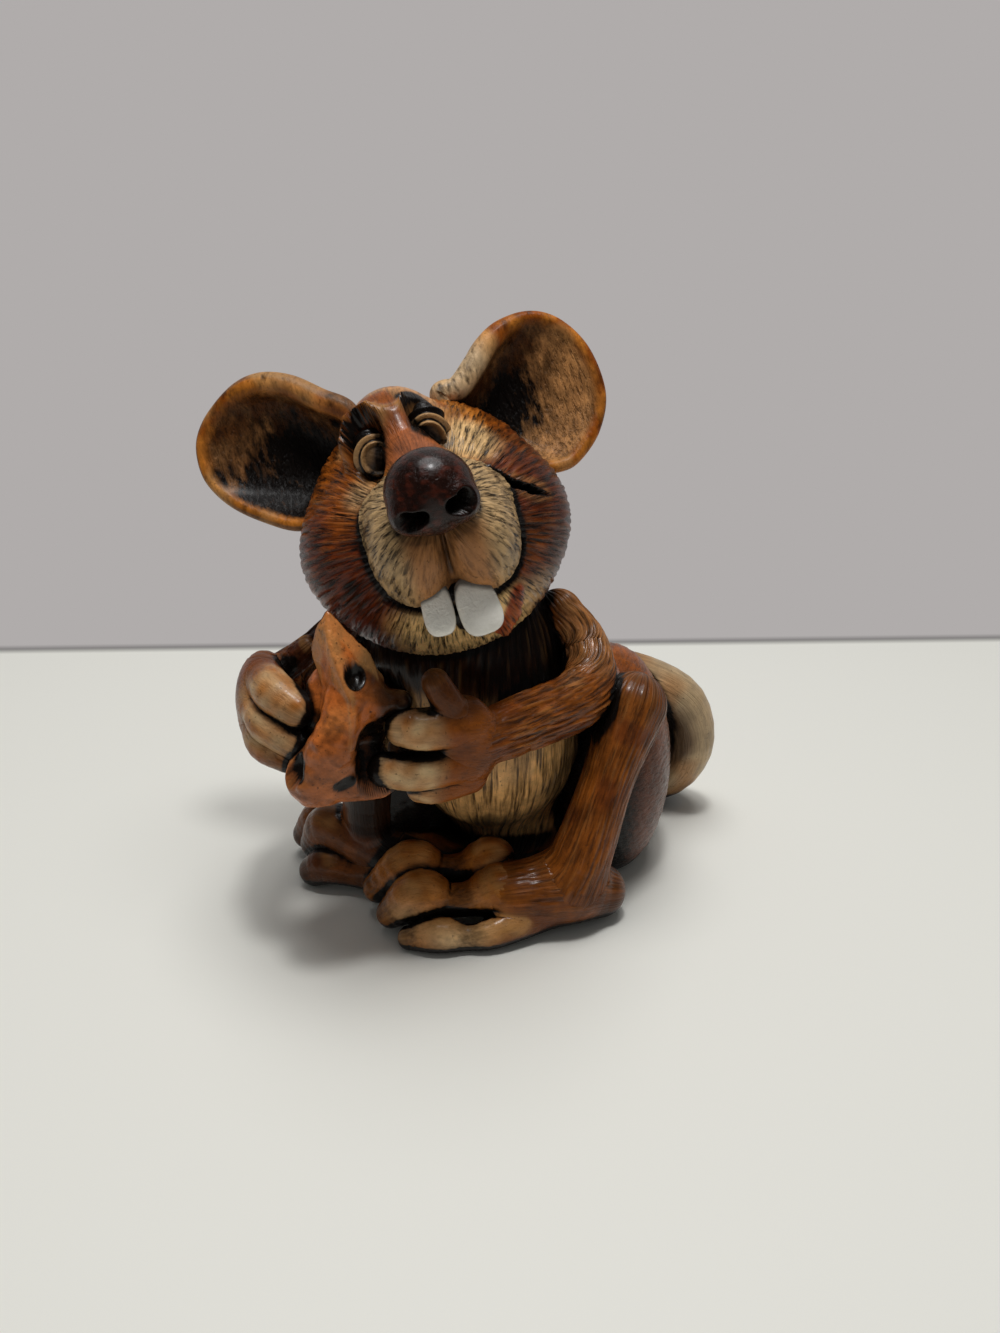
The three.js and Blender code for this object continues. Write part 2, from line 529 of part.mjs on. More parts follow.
const earPegs = [earPeg(LEFT), earPeg(RIGHT)];
cast(head, "head", FUR, headForm, {
  cuts: [socketCut(LEFT), socketCut(RIGHT), lipCut], pegs: [neckPeg, bridge],
  sockets: [nosePeg, ...earPegs, ...eyes],
});
cast(head, "muzzle", CREAM, muzzleForm, { sockets: [nosePeg] });
cast(head, "nose", NOSE_BROWN, noseForm, { cuts: [nostrilCut(LEFT), nostrilCut(RIGHT)], pegs: [nosePeg] });
for (const [side, word] of SIDES) {
  cast(head, `eye_${word}`, CREAM, eyeForm(side), { seat: "head" });
  cast(head, `tooth_${word}`, TOOTH_WHITE, toothForm(side));
  cast(head, `ear_${word}`, EAR_TAN, earForm(side), {
    cuts: [earCup(side), earBowl(side)], pegs: [earPeg(side)],
  });
}
cast(figurine, "cheese", CHEESE_ORANGE, cheeseForm, { cuts: cheeseCuts });

const neckSocket = (grow) => neckPeg(grow).applyMatrix4(headFrame);
const limbPegs = [LEFT, RIGHT].flatMap((side) => [shoulderPeg(side), hipPeg(side)]);
cast(figurine, "body", FUR, bodyForm, { cuts: [floorCut], sockets: [neckSocket, tailPeg, ...limbPegs] });
for (const [side, word] of SIDES) {
  cast(figurine, `thigh_${word}`, FUR, thighForm(side), { cuts: [floorCut], pegs: [hipPeg(side)] });
  cast(figurine, `shin_${word}`, FUR, shinForm[word]);
  cast(figurine, `foot_${word}`, FUR, footForm[word], { cuts: [floorCut] });
  for (const i of DIGITS) {
    cast(figurine, `toe_${word}_${i + 1}`, FUR, toeForm[word](i), { cuts: [floorCut] });
  }
  cast(figurine, `hand_${word}`, CREAM, handForm[word]);
  for (const i of DIGITS) cast(figurine, `finger_${word}_${i + 1}`, CREAM, fingerForm[word](i));
  cast(figurine, `thumb_${word}`, CREAM, thumbForm[word]);
  cast(figurine, `arm_${word}`, FUR, armForm[word], { pegs: [shoulderPeg(side)] });
}
cast(figurine, "tail", CREAM, tailForm, { cuts: [floorCut], pegs: [tailPeg] });

export default figurine;
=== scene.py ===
# %% [markdown]
# # A painted resin rat that hugs its cheese
#
# The figurine is one of those small ornaments that are cast in resin, stained in browns and creams, and
# wiped with a black wash that stays in every groove. This lesson builds it in Blender as numpy surfaces. The
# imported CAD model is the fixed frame: every piece here stands where its CAD node stands, and replaces it.

import bpy
import numpy as np
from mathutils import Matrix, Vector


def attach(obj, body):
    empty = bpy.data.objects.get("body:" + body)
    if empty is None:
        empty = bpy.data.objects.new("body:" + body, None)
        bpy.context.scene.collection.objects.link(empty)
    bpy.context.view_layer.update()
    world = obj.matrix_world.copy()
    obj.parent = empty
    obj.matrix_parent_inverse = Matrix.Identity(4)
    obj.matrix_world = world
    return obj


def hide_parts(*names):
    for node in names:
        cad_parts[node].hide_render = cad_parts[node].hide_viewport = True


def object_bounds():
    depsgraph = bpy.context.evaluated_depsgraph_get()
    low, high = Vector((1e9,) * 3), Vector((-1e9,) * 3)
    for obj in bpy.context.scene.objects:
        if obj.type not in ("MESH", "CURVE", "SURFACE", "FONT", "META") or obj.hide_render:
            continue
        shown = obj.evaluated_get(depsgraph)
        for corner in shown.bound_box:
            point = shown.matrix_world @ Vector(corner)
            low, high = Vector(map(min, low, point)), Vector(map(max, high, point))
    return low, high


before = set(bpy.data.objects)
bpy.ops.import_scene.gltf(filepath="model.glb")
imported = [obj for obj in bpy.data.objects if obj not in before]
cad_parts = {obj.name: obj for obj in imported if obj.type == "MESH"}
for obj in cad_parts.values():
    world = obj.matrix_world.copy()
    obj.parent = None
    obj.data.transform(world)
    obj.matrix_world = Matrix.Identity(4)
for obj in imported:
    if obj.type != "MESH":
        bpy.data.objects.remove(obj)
cad_low, cad_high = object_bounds()
MM = 0.001
print("CAD nodes:", len(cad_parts), "box in mm:", [round(s / MM, 1) for s in cad_high - cad_low])

# %% [markdown]
# ## Clay made of distances
#
# A sculptor presses lumps of clay together and smooths the joins. Metaballs or a voxel remesh could do that,
# but both lose the tidy grid that carved hair needs. So each lump is a function that gives the distance from
# any point to its surface, negative inside. Two lumps melt together where the smaller distance is taken with
# a rounded corner, and a tool mark is the same sum with the sign turned.


# %% Lumps, rods, and how they melt together
def ball(points, centre, radii):
    """Distance to an ellipsoid: the length in units of the radii, less one, over the slope of that length."""
    offset = points - np.asarray(centre, points.dtype) + np.asarray(1e-4, points.dtype)
    radii = np.asarray(radii, points.dtype)
    length = np.linalg.norm(offset / radii, axis=-1)
    slope = np.linalg.norm(offset / radii**2, axis=-1)
    return length * (length - 1) / slope


def rod(points, path, radii):
    """Distance to a round rod: the least, over its straight stretches, of the distance to the stretch less
    the radius there, which runs evenly from one end of the stretch to the other."""
    path = np.asarray(path, points.dtype)
    radii = np.asarray(radii, points.dtype)
    least = np.full(points.shape[:-1], np.inf, points.dtype)
    for a, b, ra, rb in zip(path[:-1], path[1:], radii[:-1], radii[1:]):
        along = b - a
        share = np.clip((points - a) @ along / (along @ along), 0, 1)
        gap = np.linalg.norm(points - a - share[..., None] * along, axis=-1)
        least = np.minimum(least, gap - (ra + (rb - ra) * share))
    return least


def melt(a, b, width):
    """The smaller of two distances, with the corner between them rounded over a width."""
    share = np.clip(0.5 + 0.5 * (b - a) / width, 0, 1)
    return b + (a - b) * share - width * share * (1 - share)


def melt_all(width, *distances):
    """Several lumps melted together one after another."""
    joined = distances[0]
    for distance in distances[1:]:
        joined = melt(joined, distance, width)
    return joined


def carve(a, b, width):
    """Lump a with lump b cut out of it, and the edge of the cut rounded over a width."""
    return -melt(-a, b, width)


def ease(value, low, high):
    """Goes smoothly from 0 at low to 1 at high."""
    share = np.clip((value - low) / (high - low), 0, 1)
    return share * share * (3 - 2 * share)


gap = float(ball(np.array([3.0, 0.0, 0.0]), (0, 0, 0), (2, 2, 2)))
print("a point 3 mm from the middle of a ball of 2 mm is", round(gap, 2), "mm away from it")

# %% [markdown]
# ## A skin of rays
#
# To get a mesh, rays leave the inside of a lump, and each runs out until it meets the surface. For a round
# lump all rays leave one point, and the two parameters are the angle from a pole and the angle round it. For
# a limb they leave a smooth path, square to it, and fan round at both ends. Marching cubes would mesh any
# lump, but its triangles follow a fixed lattice. These grids follow the limb, and so will the hair.


# %% Paths, rays and the skin
def curve(points, count):
    """A smooth path: between two points a cubic, whose slope at each point is half the step between that
    point's neighbours."""
    points = np.asarray(points, float)
    ends = np.concatenate([2 * points[:1] - points[1:2], points, 2 * points[-1:] - points[-2:-1]])
    place = np.linspace(0, len(points) - 1, count)
    stretch = np.minimum(place.astype(int), len(points) - 2)
    t = (place - stretch).reshape((-1,) + (1,) * (points.ndim - 1))
    a, b, c, d = (ends[stretch + step] for step in range(4))
    return 0.5 * (2 * b + (c - a) * t + (2 * a - 5 * b + 4 * c - d) * t**2 + (3 * b - a - 3 * c + d) * t**3)


def unit(vectors):
    """Vectors scaled to a length of one."""
    return vectors / np.maximum(np.linalg.norm(vectors, axis=-1, keepdims=True), 1e-9)


def globe(rows, cols, pole, side):
    """Ray directions over a ball: rows by the angle from the pole, columns by the angle round it."""
    lean = np.pi * ((np.arange(rows) + 0.5) / rows)
    turn = 2 * np.pi * np.arange(cols) / cols
    pole = unit(np.asarray(pole, float))
    third = unit(np.cross(pole, side))
    side = np.cross(third, pole)
    ring = np.cos(turn)[:, None] * side + np.sin(turn)[:, None] * third
    return np.cos(lean)[:, None, None] * pole + np.sin(lean)[:, None, None] * ring


def sleeve(path, rows, cols, upright, caps):
    """Start points and ray directions round a limb: square to its path, and fanned round at the two ends."""
    line = curve(path, rows)
    forward = unit(np.gradient(line, axis=0))
    side = unit(np.cross(forward, upright))
    above = np.cross(side, forward)
    rise = (np.arange(caps) + 0.5) / caps * np.pi / 2
    rise = np.concatenate([rise - np.pi / 2, np.zeros(rows), rise])
    row = np.clip(np.arange(rows + 2 * caps) - caps, 0, rows - 1)
    turn = 2 * np.pi * np.arange(cols) / cols
    ring = np.cos(turn)[:, None] * side[row][:, None] + np.sin(turn)[:, None] * above[row][:, None]
    aim = np.cos(rise)[:, None, None] * ring + np.sin(rise)[:, None, None] * forward[row][:, None]
    return line[row][:, None], aim


RAY_STEPS = 18
RAY_STRIDE = 0.9


def skin(start, aim, form, reach):
    """Where rays leave a form: each steps out by most of the distance left, and never beyond its reach."""
    start = np.asarray(start, np.float32)
    aim = np.asarray(aim, np.float32)
    far = np.zeros(aim.shape[:-1], np.float32)
    for _ in range(RAY_STEPS):
        far = np.clip(far - RAY_STRIDE * form(start + aim * far[..., None]), 0, reach)
    return (start + aim * far[..., None]).astype(float)


def outward(points, aim):
    """Unit normals of a grid: the cross of its step round and its step along, on the side by which the rays
    leave."""
    step_round = np.roll(points, -1, axis=1) - np.roll(points, 1, axis=1)
    normal = unit(np.cross(step_round, np.gradient(points, axis=0)))
    return normal * np.sign((normal * aim).sum(-1).mean())


print("rays over a globe:", globe(4, 6, (0, 0, 1), (1, 0, 0)).shape)

# %% [markdown]
# ## The head's own frame
#
# The head is thrown back and rolled towards the rat's right shoulder. Everything on the face is easier to
# place in the head's own upright frame, with the nose along -Y. A turned parent object could do that, but the
# finished pieces have to sit unturned at the origin. So the points themselves go into that frame and back.

# %% Into the head and back
HEAD_CENTRE = np.array([-14.5, -6.0, 79.0])
HEAD_TILT = np.radians(-25)
HEAD_ROLL = np.radians(-15)


def turning(axis, angle):
    """The matrix that turns by an angle about one of the axes 0, 1 or 2."""
    a, b = [(1, 2), (2, 0), (0, 1)][axis]
    matrix = np.eye(3)
    matrix[a, a] = matrix[b, b] = np.cos(angle)
    matrix[b, a] = np.sin(angle)
    matrix[a, b] = -np.sin(angle)
    return matrix


HEAD_TURN = turning(0, HEAD_TILT) @ turning(1, HEAD_ROLL)


def to_head(points):
    """Points as the head has them: less its centre, and turned back."""
    return (points - HEAD_CENTRE) @ HEAD_TURN


def from_head(points):
    """Points of the head as the figurine has them: turned with the head, and moved to its centre."""
    return HEAD_CENTRE + points @ HEAD_TURN.T


print("head turned by", np.round(HEAD_TURN, 2).tolist())

# %% [markdown]
# ## The face
#
# Fat cheeks hang below a narrow brow, two whisker pads bulge under the nose, and the mouth is the dark line
# where the pads overhang the chin. Each of these is a lump, and the eye sockets, the mouth line, the cleft
# and the laughing crease are tool marks. Sculpt mode could shape them by hand. Numbers were taken instead,
# because each lump can then be set against the photo and moved alone.

# %% Lumps of the face
PAD_RIGHT = (-4.4, -21, -9.0)
PAD_LEFT = (7.2, -21, -9.3)
EYE_RIGHT = (-6.8, -14.6, 9.4)
EYE_LEFT = (3.7, -14.6, 11.4)
EYE_RADII = (3.7, 4.4, 5.0)
SOCKET_RIGHT = ((-7.2, -19.6, 10.2), (4.0, 5.6, 6.4))
SOCKET_LEFT = ((3.7, -19.6, 12.8), (3.8, 5.8, 5.4))
BROW = ((-2.4, -8.2, 11.3), (9.8, 11.6, 11.0))
CHEEK_RADII = (14.7, 14.6, 14.2)
NOSE_CENTRE = np.array([1.4, -36, -2.7])
BRIDGE_LINE = [(-1.5, -17.9, 14.6), (-1.1, -18.2, 10.8), (-0.6, -18, 8.0), (1.2, -24, 1)]
BRIDGE_WIDTH = [2.0, 3.0, 4.6, 6.2]
BRIM_RIGHT = [(-11.6, -14.8, 8.5), (-11.2, -16.2, 12.6), (-9.2, -17.2, 16.2)]
BRIM_RIGHT += [(-5.8, -18.0, 17.2), (-3.0, -18.6, 15.6)]
BRIM_LEFT = [(0.4, -18.6, 16.4), (1.8, -18.0, 18.4), (3.4, -17.5, 19.0)]
BRIM_LEFT += [(4.8, -17.0, 18.6), (5.8, -16.4, 17.6)]
BRIM_WIDTH = [0.8, 1.3, 1.5, 1.5, 1.0]
CLEFT = [(1.4, -30.6, -7), (1.4, -29.2, -10), (1.3, -27.6, -13.5), (1.3, -25, -17)]
CLEFT_WIDTH = [0.3, 0.4, 0.4, 0.7]
LIP_RIDGE = [(11.4, -16.2, -20.4), (10.2, -14.4, -23.6), (7.6, -11.4, -26.4)]
LIP_RIDGE_WIDTH = [0.9, 1.4, 1.1]
LIP_LINE = [(-10.6, -18, -15.6), (-7.6, -19.2, -18.4), (-3, -20.5, -20.2), (2, -21, -20.8), (7, -20.4, -20.6)]
LIP_LINE += [(10.6, -19.4, -18.6), (12.8, -18.6, -15.4), (14.1, -18.2, -11.5)]
LIP_WIDTH = [0.2, 0.6, 1.2, 2.0, 2.0, 1.6, 1.2, 0.3]
LIP_STEPS = 15
CREASE = [(11.8, -20, 1.4), (14.6, -18.6, -2.2), (17.4, -16.4, -4), (19.4, -14.8, -5.0)]
CREASE_WIDTH = [0.2, 0.7, 0.7, 0.15]


def muzzle_form(points):
    """Two pads and the saddle below the nose, with the cleft pressed between the pads."""
    pads = melt(ball(points, PAD_RIGHT, (7.6, 12.4, 10.3)), ball(points, PAD_LEFT, (7.5, 12.4, 10.2)), 2)
    whole = melt(pads, ball(points, (1.4, -20.5, -3.5), (12.4, 11, 8.4)), 3)
    return carve(whole, rod(points, CLEFT, CLEFT_WIDTH), 0.6)


def nostrils(offset):
    """Distance to the two nostrils, from points seen from the middle of the nose."""
    hole_right = rod(offset, [(-4.8, -5.9, -4.5), (-2.1, -2.8, -2.5), (-2.0, -6.7, -5.6)], [0.9, 0.7, 1.1])
    hole_left = rod(offset, [(3.2, -7.0, -4.9), (2.4, -3.0, -2.1), (5.5, -6.0, -2.9)], [1.1, 0.7, 0.9])
    return np.minimum(hole_right, hole_left)


def nose_form(points):
    """A round nose with two wings and a nostril in each."""
    offset = points - NOSE_CENTRE
    wing_right = ball(offset, (-4.0, -3.0, -3.4), (3.3, 3.6, 3.2))
    wing_left = ball(offset, (4.4, -3.2, -3.2), (3.2, 3.6, 3.3))
    whole = melt_all(2, ball(offset, (0, 0, 0), (7.5, 7.5, 7.1)), wing_right, wing_left)
    return carve(whole, nostrils(offset), 0.7)


def sockets(points):
    """Distance to the two balls that press in the eye sockets."""
    return np.minimum(ball(points, *SOCKET_RIGHT), ball(points, *SOCKET_LEFT))


def brims(points):
    """Distance to the two rolls that hang over the eyes."""
    return np.minimum(rod(points, BRIM_RIGHT, BRIM_WIDTH), rod(points, BRIM_LEFT, BRIM_WIDTH))


def skull_form(points):
    """Skull, jaw, cheeks and the hood of the brow melted together, with two eye sockets, the brims that hang
    over them, the bridge and the corner of the lower lip."""
    whole = melt_all(
        5,
        ball(points, (0, 3, -2), (23.3, 23, 23)),
        ball(points, (0, -5, -15.7), (18.3, 17, 12)),
        ball(points, (-10.6, -6, -6), CHEEK_RADII),
        ball(points, (10.6, -6, -6), CHEEK_RADII),
    )
    whole = melt(whole, ball(points, *BROW), 3)
    whole = carve(whole, sockets(points), 1.2)
    whole = melt(whole, brims(points), 1.2)
    whole = melt(whole, rod(points, LIP_RIDGE, LIP_RIDGE_WIDTH), 1.2)
    return melt(whole, rod(points, BRIDGE_LINE, BRIDGE_WIDTH), 1.6)


def face_width(points):
    """How far skull and muzzle melt: 3.4 mm beside the nose, and hardly at the lips."""
    return 0.4 + 3 * ease(points[..., 2], -9, 0)


def head_form(points):
    """Skull and muzzle melted together, and parted below by the line of the lips and one deep crease."""
    whole = melt(skull_form(points), muzzle_form(points), face_width(points))
    lips = rod(points, curve(LIP_LINE, LIP_STEPS), curve(np.array(LIP_WIDTH), LIP_STEPS))
    whole = carve(whole, lips, 0.8)
    return carve(whole, rod(points, CREASE, CREASE_WIDTH), 1.2)


for name, form, place in (("head", head_form, (0, 0, 0)), ("muzzle", muzzle_form, PAD_LEFT)):
    print(name, "depth at its middle in mm:", round(float(-form(np.array([place], float))[0]), 1))

# %% [markdown]
# ## The body and the limbs
#
# The places and thicknesses follow those of the CAD solids, in millimetres. Arm, palm and fingers melt into
# one hand, as clay does, and so do shin, foot and toes. A Skin modifier on a skeleton of edges could make
# such limbs, but it gives no distances to melt with. Each piece is still one of its own, because its rays
# follow its own path.

# %% Where the limbs lie
ARM_LEFT = (
    [(10.5, -4, 57), (15.5, -8, 51), (15, -16, 45), (2.5, -29, 45), (-4.5, -35, 45)],
    [4.8, 4.9, 5.6, 5.3, 4.9],
)
ARM_RIGHT = ([(-28.5, -4, 57), (-36.5, -4, 49), (-44.3, -10, 44.5), (-45.3, -19, 47.5)], [4.8, 4.9, 5.6, 4.8])
PALM_LEFT = ((-7.5, -36, 45), (6.3, 5.2, 9))
PALM_RIGHT = ((-45.3, -23, 47.5), (5.2, 8.3, 9))
DIGITS_LEFT = {
    "finger_left_1": ([(-7, -37.5, 48.8), (-14, -39.4, 49.2), (-18, -39.0, 49.2)], [3.5, 3.9, 3.4]),
    "finger_left_2": ([(-7, -37.5, 42), (-15.5, -39.7, 41.2), (-21.8, -39.4, 41.2)], [3.5, 3.7, 3.2]),
    "finger_left_3": ([(-6.5, -36, 37.8), (-12.5, -37.4, 36.4), (-15.5, -37, 36)], [3.0, 2.9, 2.6]),
    "thumb_left": ([(-8.4, -37, 50), (-10.6, -38.2, 54.4), (-12.3, -38.4, 57.8)], [3.0, 2.8, 2.5]),
}
DIGITS_RIGHT = {
    "finger_right_1": ([(-44.3, -26, 52.8), (-41.3, -32.8, 53.2), (-36.8, -36.2, 51.4)], [3.6, 3.8, 3.3]),
    "finger_right_2": ([(-45.5, -26, 48), (-43, -33.2, 47.4), (-37.6, -36.8, 45.4)], [3.7, 3.6, 3.2]),
    "finger_right_3": ([(-46.2, -26, 44), (-43.8, -33, 43), (-39.4, -36, 41.8)], [3.4, 3.3, 2.8]),
    "thumb_right": ([(-43.2, -20.5, 51.5), (-39.8, -20.5, 54.0), (-36.8, -21, 57)], [2.8, 2.7, 2.3]),
}
SHIN_LEFT = ([(25, -13, 41), (20, -20.5, 29.1), (15, -26, 15.1), (12.5, -27.2, 10)], [6.8, 5.2, 6.0, 6.6])
FOOT_LEFT = ([(18.6, -24.6, 5.6), (11, -27, 7.4), (2.5, -29, 7.6)], [5.4, 7.0, 6.8])
SHIN_RIGHT = ([(-25, -13, 41), (-27, -14.5, 27.6), (-27, -12.5, 14.6), (-24, -12, 9)], [6.8, 5.4, 6.4, 7.2])
FOOT_RIGHT = ([(-13, -14, 5.7), (-20, -13, 7.6), (-27, -11.5, 7.6)], [6.0, 7.2, 6.8])
TOES_LEFT = {
    "toe_left_1": (
        [(9, -28.5, 5.0), (-2, -35.0, 3.4), (-7.5, -35.8, 2.7), (-13, -36, 3.4), (-18.5, -35.6, 2.2)],
        [4.6, 3.4, 2.8, 3.7, 2.4],
    ),
    "toe_left_2": (
        [(-1.6, -29.4, 9), (-6.6, -29.9, 7.4), (-11.8, -30.2, 7.2), (-16.8, -30.5, 8.6), (-22.4, -30.4, 4.3)],
        [5.3, 3.6, 3.5, 5.0, 3.0],
    ),
    "toe_left_3": (
        [(-3.2, -23, 11.6), (-8.2, -23.3, 10), (-13.4, -23.5, 9.8), (-18.8, -23.7, 11.2), (-25.4, -24, 6)],
        [5.1, 3.3, 3.2, 4.9, 3.2],
    ),
}
TOES_RIGHT = {
    "toe_right_1": (
        [(-26, -17, 5.2), (-31, -15.8, 4.6), (-36, -14.6, 5.4), (-39.7, -13.7, 3.3)],
        [4.3, 3.5, 4.2, 3.3],
    ),
    "toe_right_2": (
        [(-24.5, -16, 8.0), (-30, -14, 10.4), (-36, -11, 12.4), (-39.6, -8.8, 7)],
        [4.6, 4.6, 5.0, 3.6],
    ),
    "toe_right_3": (
        [(-29, -5, 9), (-34, -3.8, 8.4), (-39.1, -2.6, 9.4), (-42.7, -1.7, 4.8)],
        [4.3, 3.5, 4.2, 3.3],
    ),
}
TAIL_PATH = [(6, 25, 6.2), (20, 26.7, 6), (35.2, 22.7, 6.2), (41.2, 17.7, 16), (39.2, 15.2, 28)]
TAIL_PATH += [(30.2, 14.7, 34.5), (20.2, 16.7, 36.5), (10.2, 16.7, 37)]
TAIL = (TAIL_PATH, [6.2, 6.2, 6.2, 6.0, 5.5, 5.0, 4.2, 3.2])
TOE_SLIT = ([(-20, -33.6, 3.6), (-14, -34.3, 4.9), (-6, -34.3, 5.3), (2.5, -33.6, 5.6)], [0.3, 0.9, 1.5, 0.5])
print("limbs:", len(DIGITS_LEFT) + len(DIGITS_RIGHT), "fingers and", len(TOES_LEFT) + len(TOES_RIGHT), "toes")


# %% Limbs, hands and feet
def limb(points, shape):
    """A rod along a smooth path, in short straight stretches, four between two points of the path."""
    path, radii = shape
    count = 4 * len(path) - 3
    return rod(points, curve(path, count), curve(np.array(radii, float), count))


def hand_form(points, arm, palm, digits):
    """Arm, palm and fingers, melted over a millimetre."""
    fingers = (limb(points, digit) for digit in digits.values())
    return melt_all(1, limb(points, arm), ball(points, *palm), *fingers)


def foot_form(points, shin, foot, toes):
    """Shin and foot melted over 3 mm, the toes over less, and all cut flat by the floor."""
    ankle = melt(limb(points, shin), limb(points, foot), 3)
    whole = melt_all(0.7, ankle, *(limb(points, toe) for toe in toes.values()))
    whole = carve(whole, rod(points, *TOE_SLIT), 0.8)
    return np.maximum(whole, -points[..., 2])


def arm_left_form(points):
    """The left arm with its hand."""
    return hand_form(points, ARM_LEFT, PALM_LEFT, DIGITS_LEFT)


def arm_right_form(points):
    """The right arm with its hand."""
    return hand_form(points, ARM_RIGHT, PALM_RIGHT, DIGITS_RIGHT)


def leg_left_form(points):
    """The left shin with its foot."""
    return foot_form(points, SHIN_LEFT, FOOT_LEFT, TOES_LEFT)


def leg_right_form(points):
    """The right shin with its foot."""
    return foot_form(points, SHIN_RIGHT, FOOT_RIGHT, TOES_RIGHT)


elbow = np.array([ARM_LEFT[0][2]], float)
print("left arm, depth at the elbow in mm:", round(float(-arm_left_form(elbow)[0]), 1))

# %% Trunk, haunches and tail
THIGH_RADII = (13, 18.5, 25)
THIGH_TURN = turning(0, np.radians(-6))


def hip(side):
    """The middle of one haunch, to the left where the side is 1 and to the right where it is -1."""
    return np.array([side * 22.0, 1.0, 22.0])


def thigh_form(points, side):
    """One haunch: an egg that leans back a little, cut flat by the floor."""
    egg = ball((points - hip(side)) @ THIGH_TURN, (0, 0, 0), THIGH_RADII)
    return np.maximum(egg, -points[..., 2])


def body_form(points):
    """Rump, belly and chest round a bent trunk, cut flat by the floor."""
    trunk = rod(points, [(0, 10, 16), (-3, 3, 37), (-9, -1, 54)], [19, 18, 14])
    lumps = melt_all(
        4,
        trunk,
        ball(points, (0, 9, 14), (23.5, 19, 21)),
        ball(points, (-3, -3, 33.4), (19.5, 21, 22.6)),
        ball(points, (-9, -3, 51), (20.5, 16, 15)),
    )
    return np.maximum(lumps, -points[..., 2])


def tail_form(points):
    """The tail along its path, cut flat by the floor."""
    return np.maximum(limb(points, TAIL), -points[..., 2])


print("haunch, depth at the hip in mm:", round(float(-thigh_form(hip(1)[None], 1)[0]), 1))

# %% [markdown]
# ## The wedge of cheese
#
# The rat hugs a gnawed wedge: two flat faces meet in a crest that bends back towards the tip, a saddle runs
# to the left, and a thick foot lies between the hands. Boolean cuts in a block would leave hard edges
# everywhere. As distances, the flat faces stay flat, and the bites get soft edges like those of the clay.

# %% Crest, saddle, foot and bites
CREST = {
    "z": [48, 52, 56.7, 60.4, 64, 67, 71],
    "x": [-26.6, -26.2, -26.5, -28, -29.3, -30.2, -30.6],
    "y": [-45, -44.8, -44.2, -42.7, -41, -39.2, -36.2],
    "depth": [10, 10, 9.6, 7.6, 5.4, 3.8, 1.6],
}
CREST_FOOT = 48
CREST_TOP = 71.2
CREST_RIGHT = 5.4
CREST_LEFT = 4.9
FACE_RIGHT = np.radians(40)
FACE_LEFT = np.radians(37)


def crest_form(points):
    """The wedge of the cheese: two flat faces that meet in a bent crest, cut off some way behind it."""
    x, y, z = np.moveaxis(points, -1, 0)
    aside = x - np.interp(z, CREST["z"], CREST["x"])
    behind = y - np.interp(z, CREST["z"], CREST["y"])
    right_face = -aside * np.cos(FACE_RIGHT) - behind * np.sin(FACE_RIGHT)
    left_face = aside * np.cos(FACE_LEFT) - behind * np.sin(FACE_LEFT)
    faces = -melt(-right_face, -left_face, 0.6)
    back = behind - np.interp(z, CREST["z"], CREST["depth"])
    ends = np.maximum(np.maximum(z - CREST_TOP, CREST_FOOT - z), back)
    sides = np.maximum(-aside - CREST_RIGHT, aside - CREST_LEFT)
    return np.maximum(np.maximum(faces, sides), ends)


def cheese_marks(points):
    """Two holes, a nick and the bite in the cheese."""
    marks = [
        ball(points, (-25.6, -40.8, 60.0), (1.9, 2.4, 2.0)),
        rod(points, [(-28.8, -45.3, 40.6), (-26.2, -45.0, 41.8)], [1.0, 1.2]),
        ball(points, (-36.4, -43.8, 44.0), (1.2, 3.0, 2.6)),
        ball(points, (-21.4, -43.0, 47.8), (4.4, 5.4, 4.0)),
    ]
    return np.minimum.reduce(marks)


def cheese_form(points):
    """A gnawed wedge: the crest, a saddle to the left and a thick foot melted together, then holes."""
    lumps = melt_all(
        1.6,
        crest_form(points),
        rod(points, [(-28.5, -41, 53), (-30.2, -41.8, 47), (-33.4, -40.6, 40.2)], [3.2, 4.4, 5.0]),
        rod(points, [(-28, -39.6, 54.4), (-18.8, -36.6, 53.0)], [3.4, 2.4]),
        rod(points, [(-34, -40, 40.2), (-23.6, -39, 40.4)], [5.0, 4.8]),
        ball(points, (-29, -33, 47.5), (8.2, 6.4, 12.5)),
    )
    return carve(lumps, cheese_marks(points), 0.7)


middle = np.array([(-29.0, -36.0, 48.0)])
print("cheese, depth at its middle in mm:", round(float(-cheese_form(middle)[0]), 1))

# %% [markdown]
# ## Ears
#
# Each ear is a thin dish with a rolled rim, deepest beside the head. A lathe can't turn it, because its
# outline isn't round. So the outline is drawn as a smooth loop, a sheet is spun from the deepest point out
# to the loop, and the sheet gets a front, a rolled edge and a back.

# %% Ear outlines and the dish
EAR_RIGHT = {
    "pale_stem": 0.1,
    "low_bowl_shade": 0.9,
    "deepest": (-17.5, 15),
    "outline": [
        (-10, 21.6), (-14.5, 25.4), (-19.6, 29.8), (-24.6, 32), (-29.9, 31.8),
        (-35.2, 29.6), (-38.8, 25.8), (-40, 21.6), (-39.4, 16.8), (-36.2, 11.8),
        (-31, 7.4), (-24.7, 3.8), (-18, 4), (-12.5, 9), (-9.5, 15.5),
    ],
}
EAR_LEFT = {
    "pale_stem": 1.0,
    "low_bowl_shade": 0.0,
    "deepest": (16.5, 14.5),
    "outline": [
        (7.5, 20.2), (11.3, 21), (15.2, 24.4), (18.2, 27.4), (22.6, 30.2),
        (28, 31.4), (33.1, 28.8), (36.9, 22.6), (37.7, 14), (34.7, 7.4),
        (29.8, 3), (26, 2), (20, 3), (14, 7.5), (9, 14),
    ],
}
EAR_ROWS = 90
EAR_COLS = 200
EAR_DEPTH = 7.5
EAR_WALL = 2.4
EAR_RIM = 1.25
EAR_STEM = 2.3


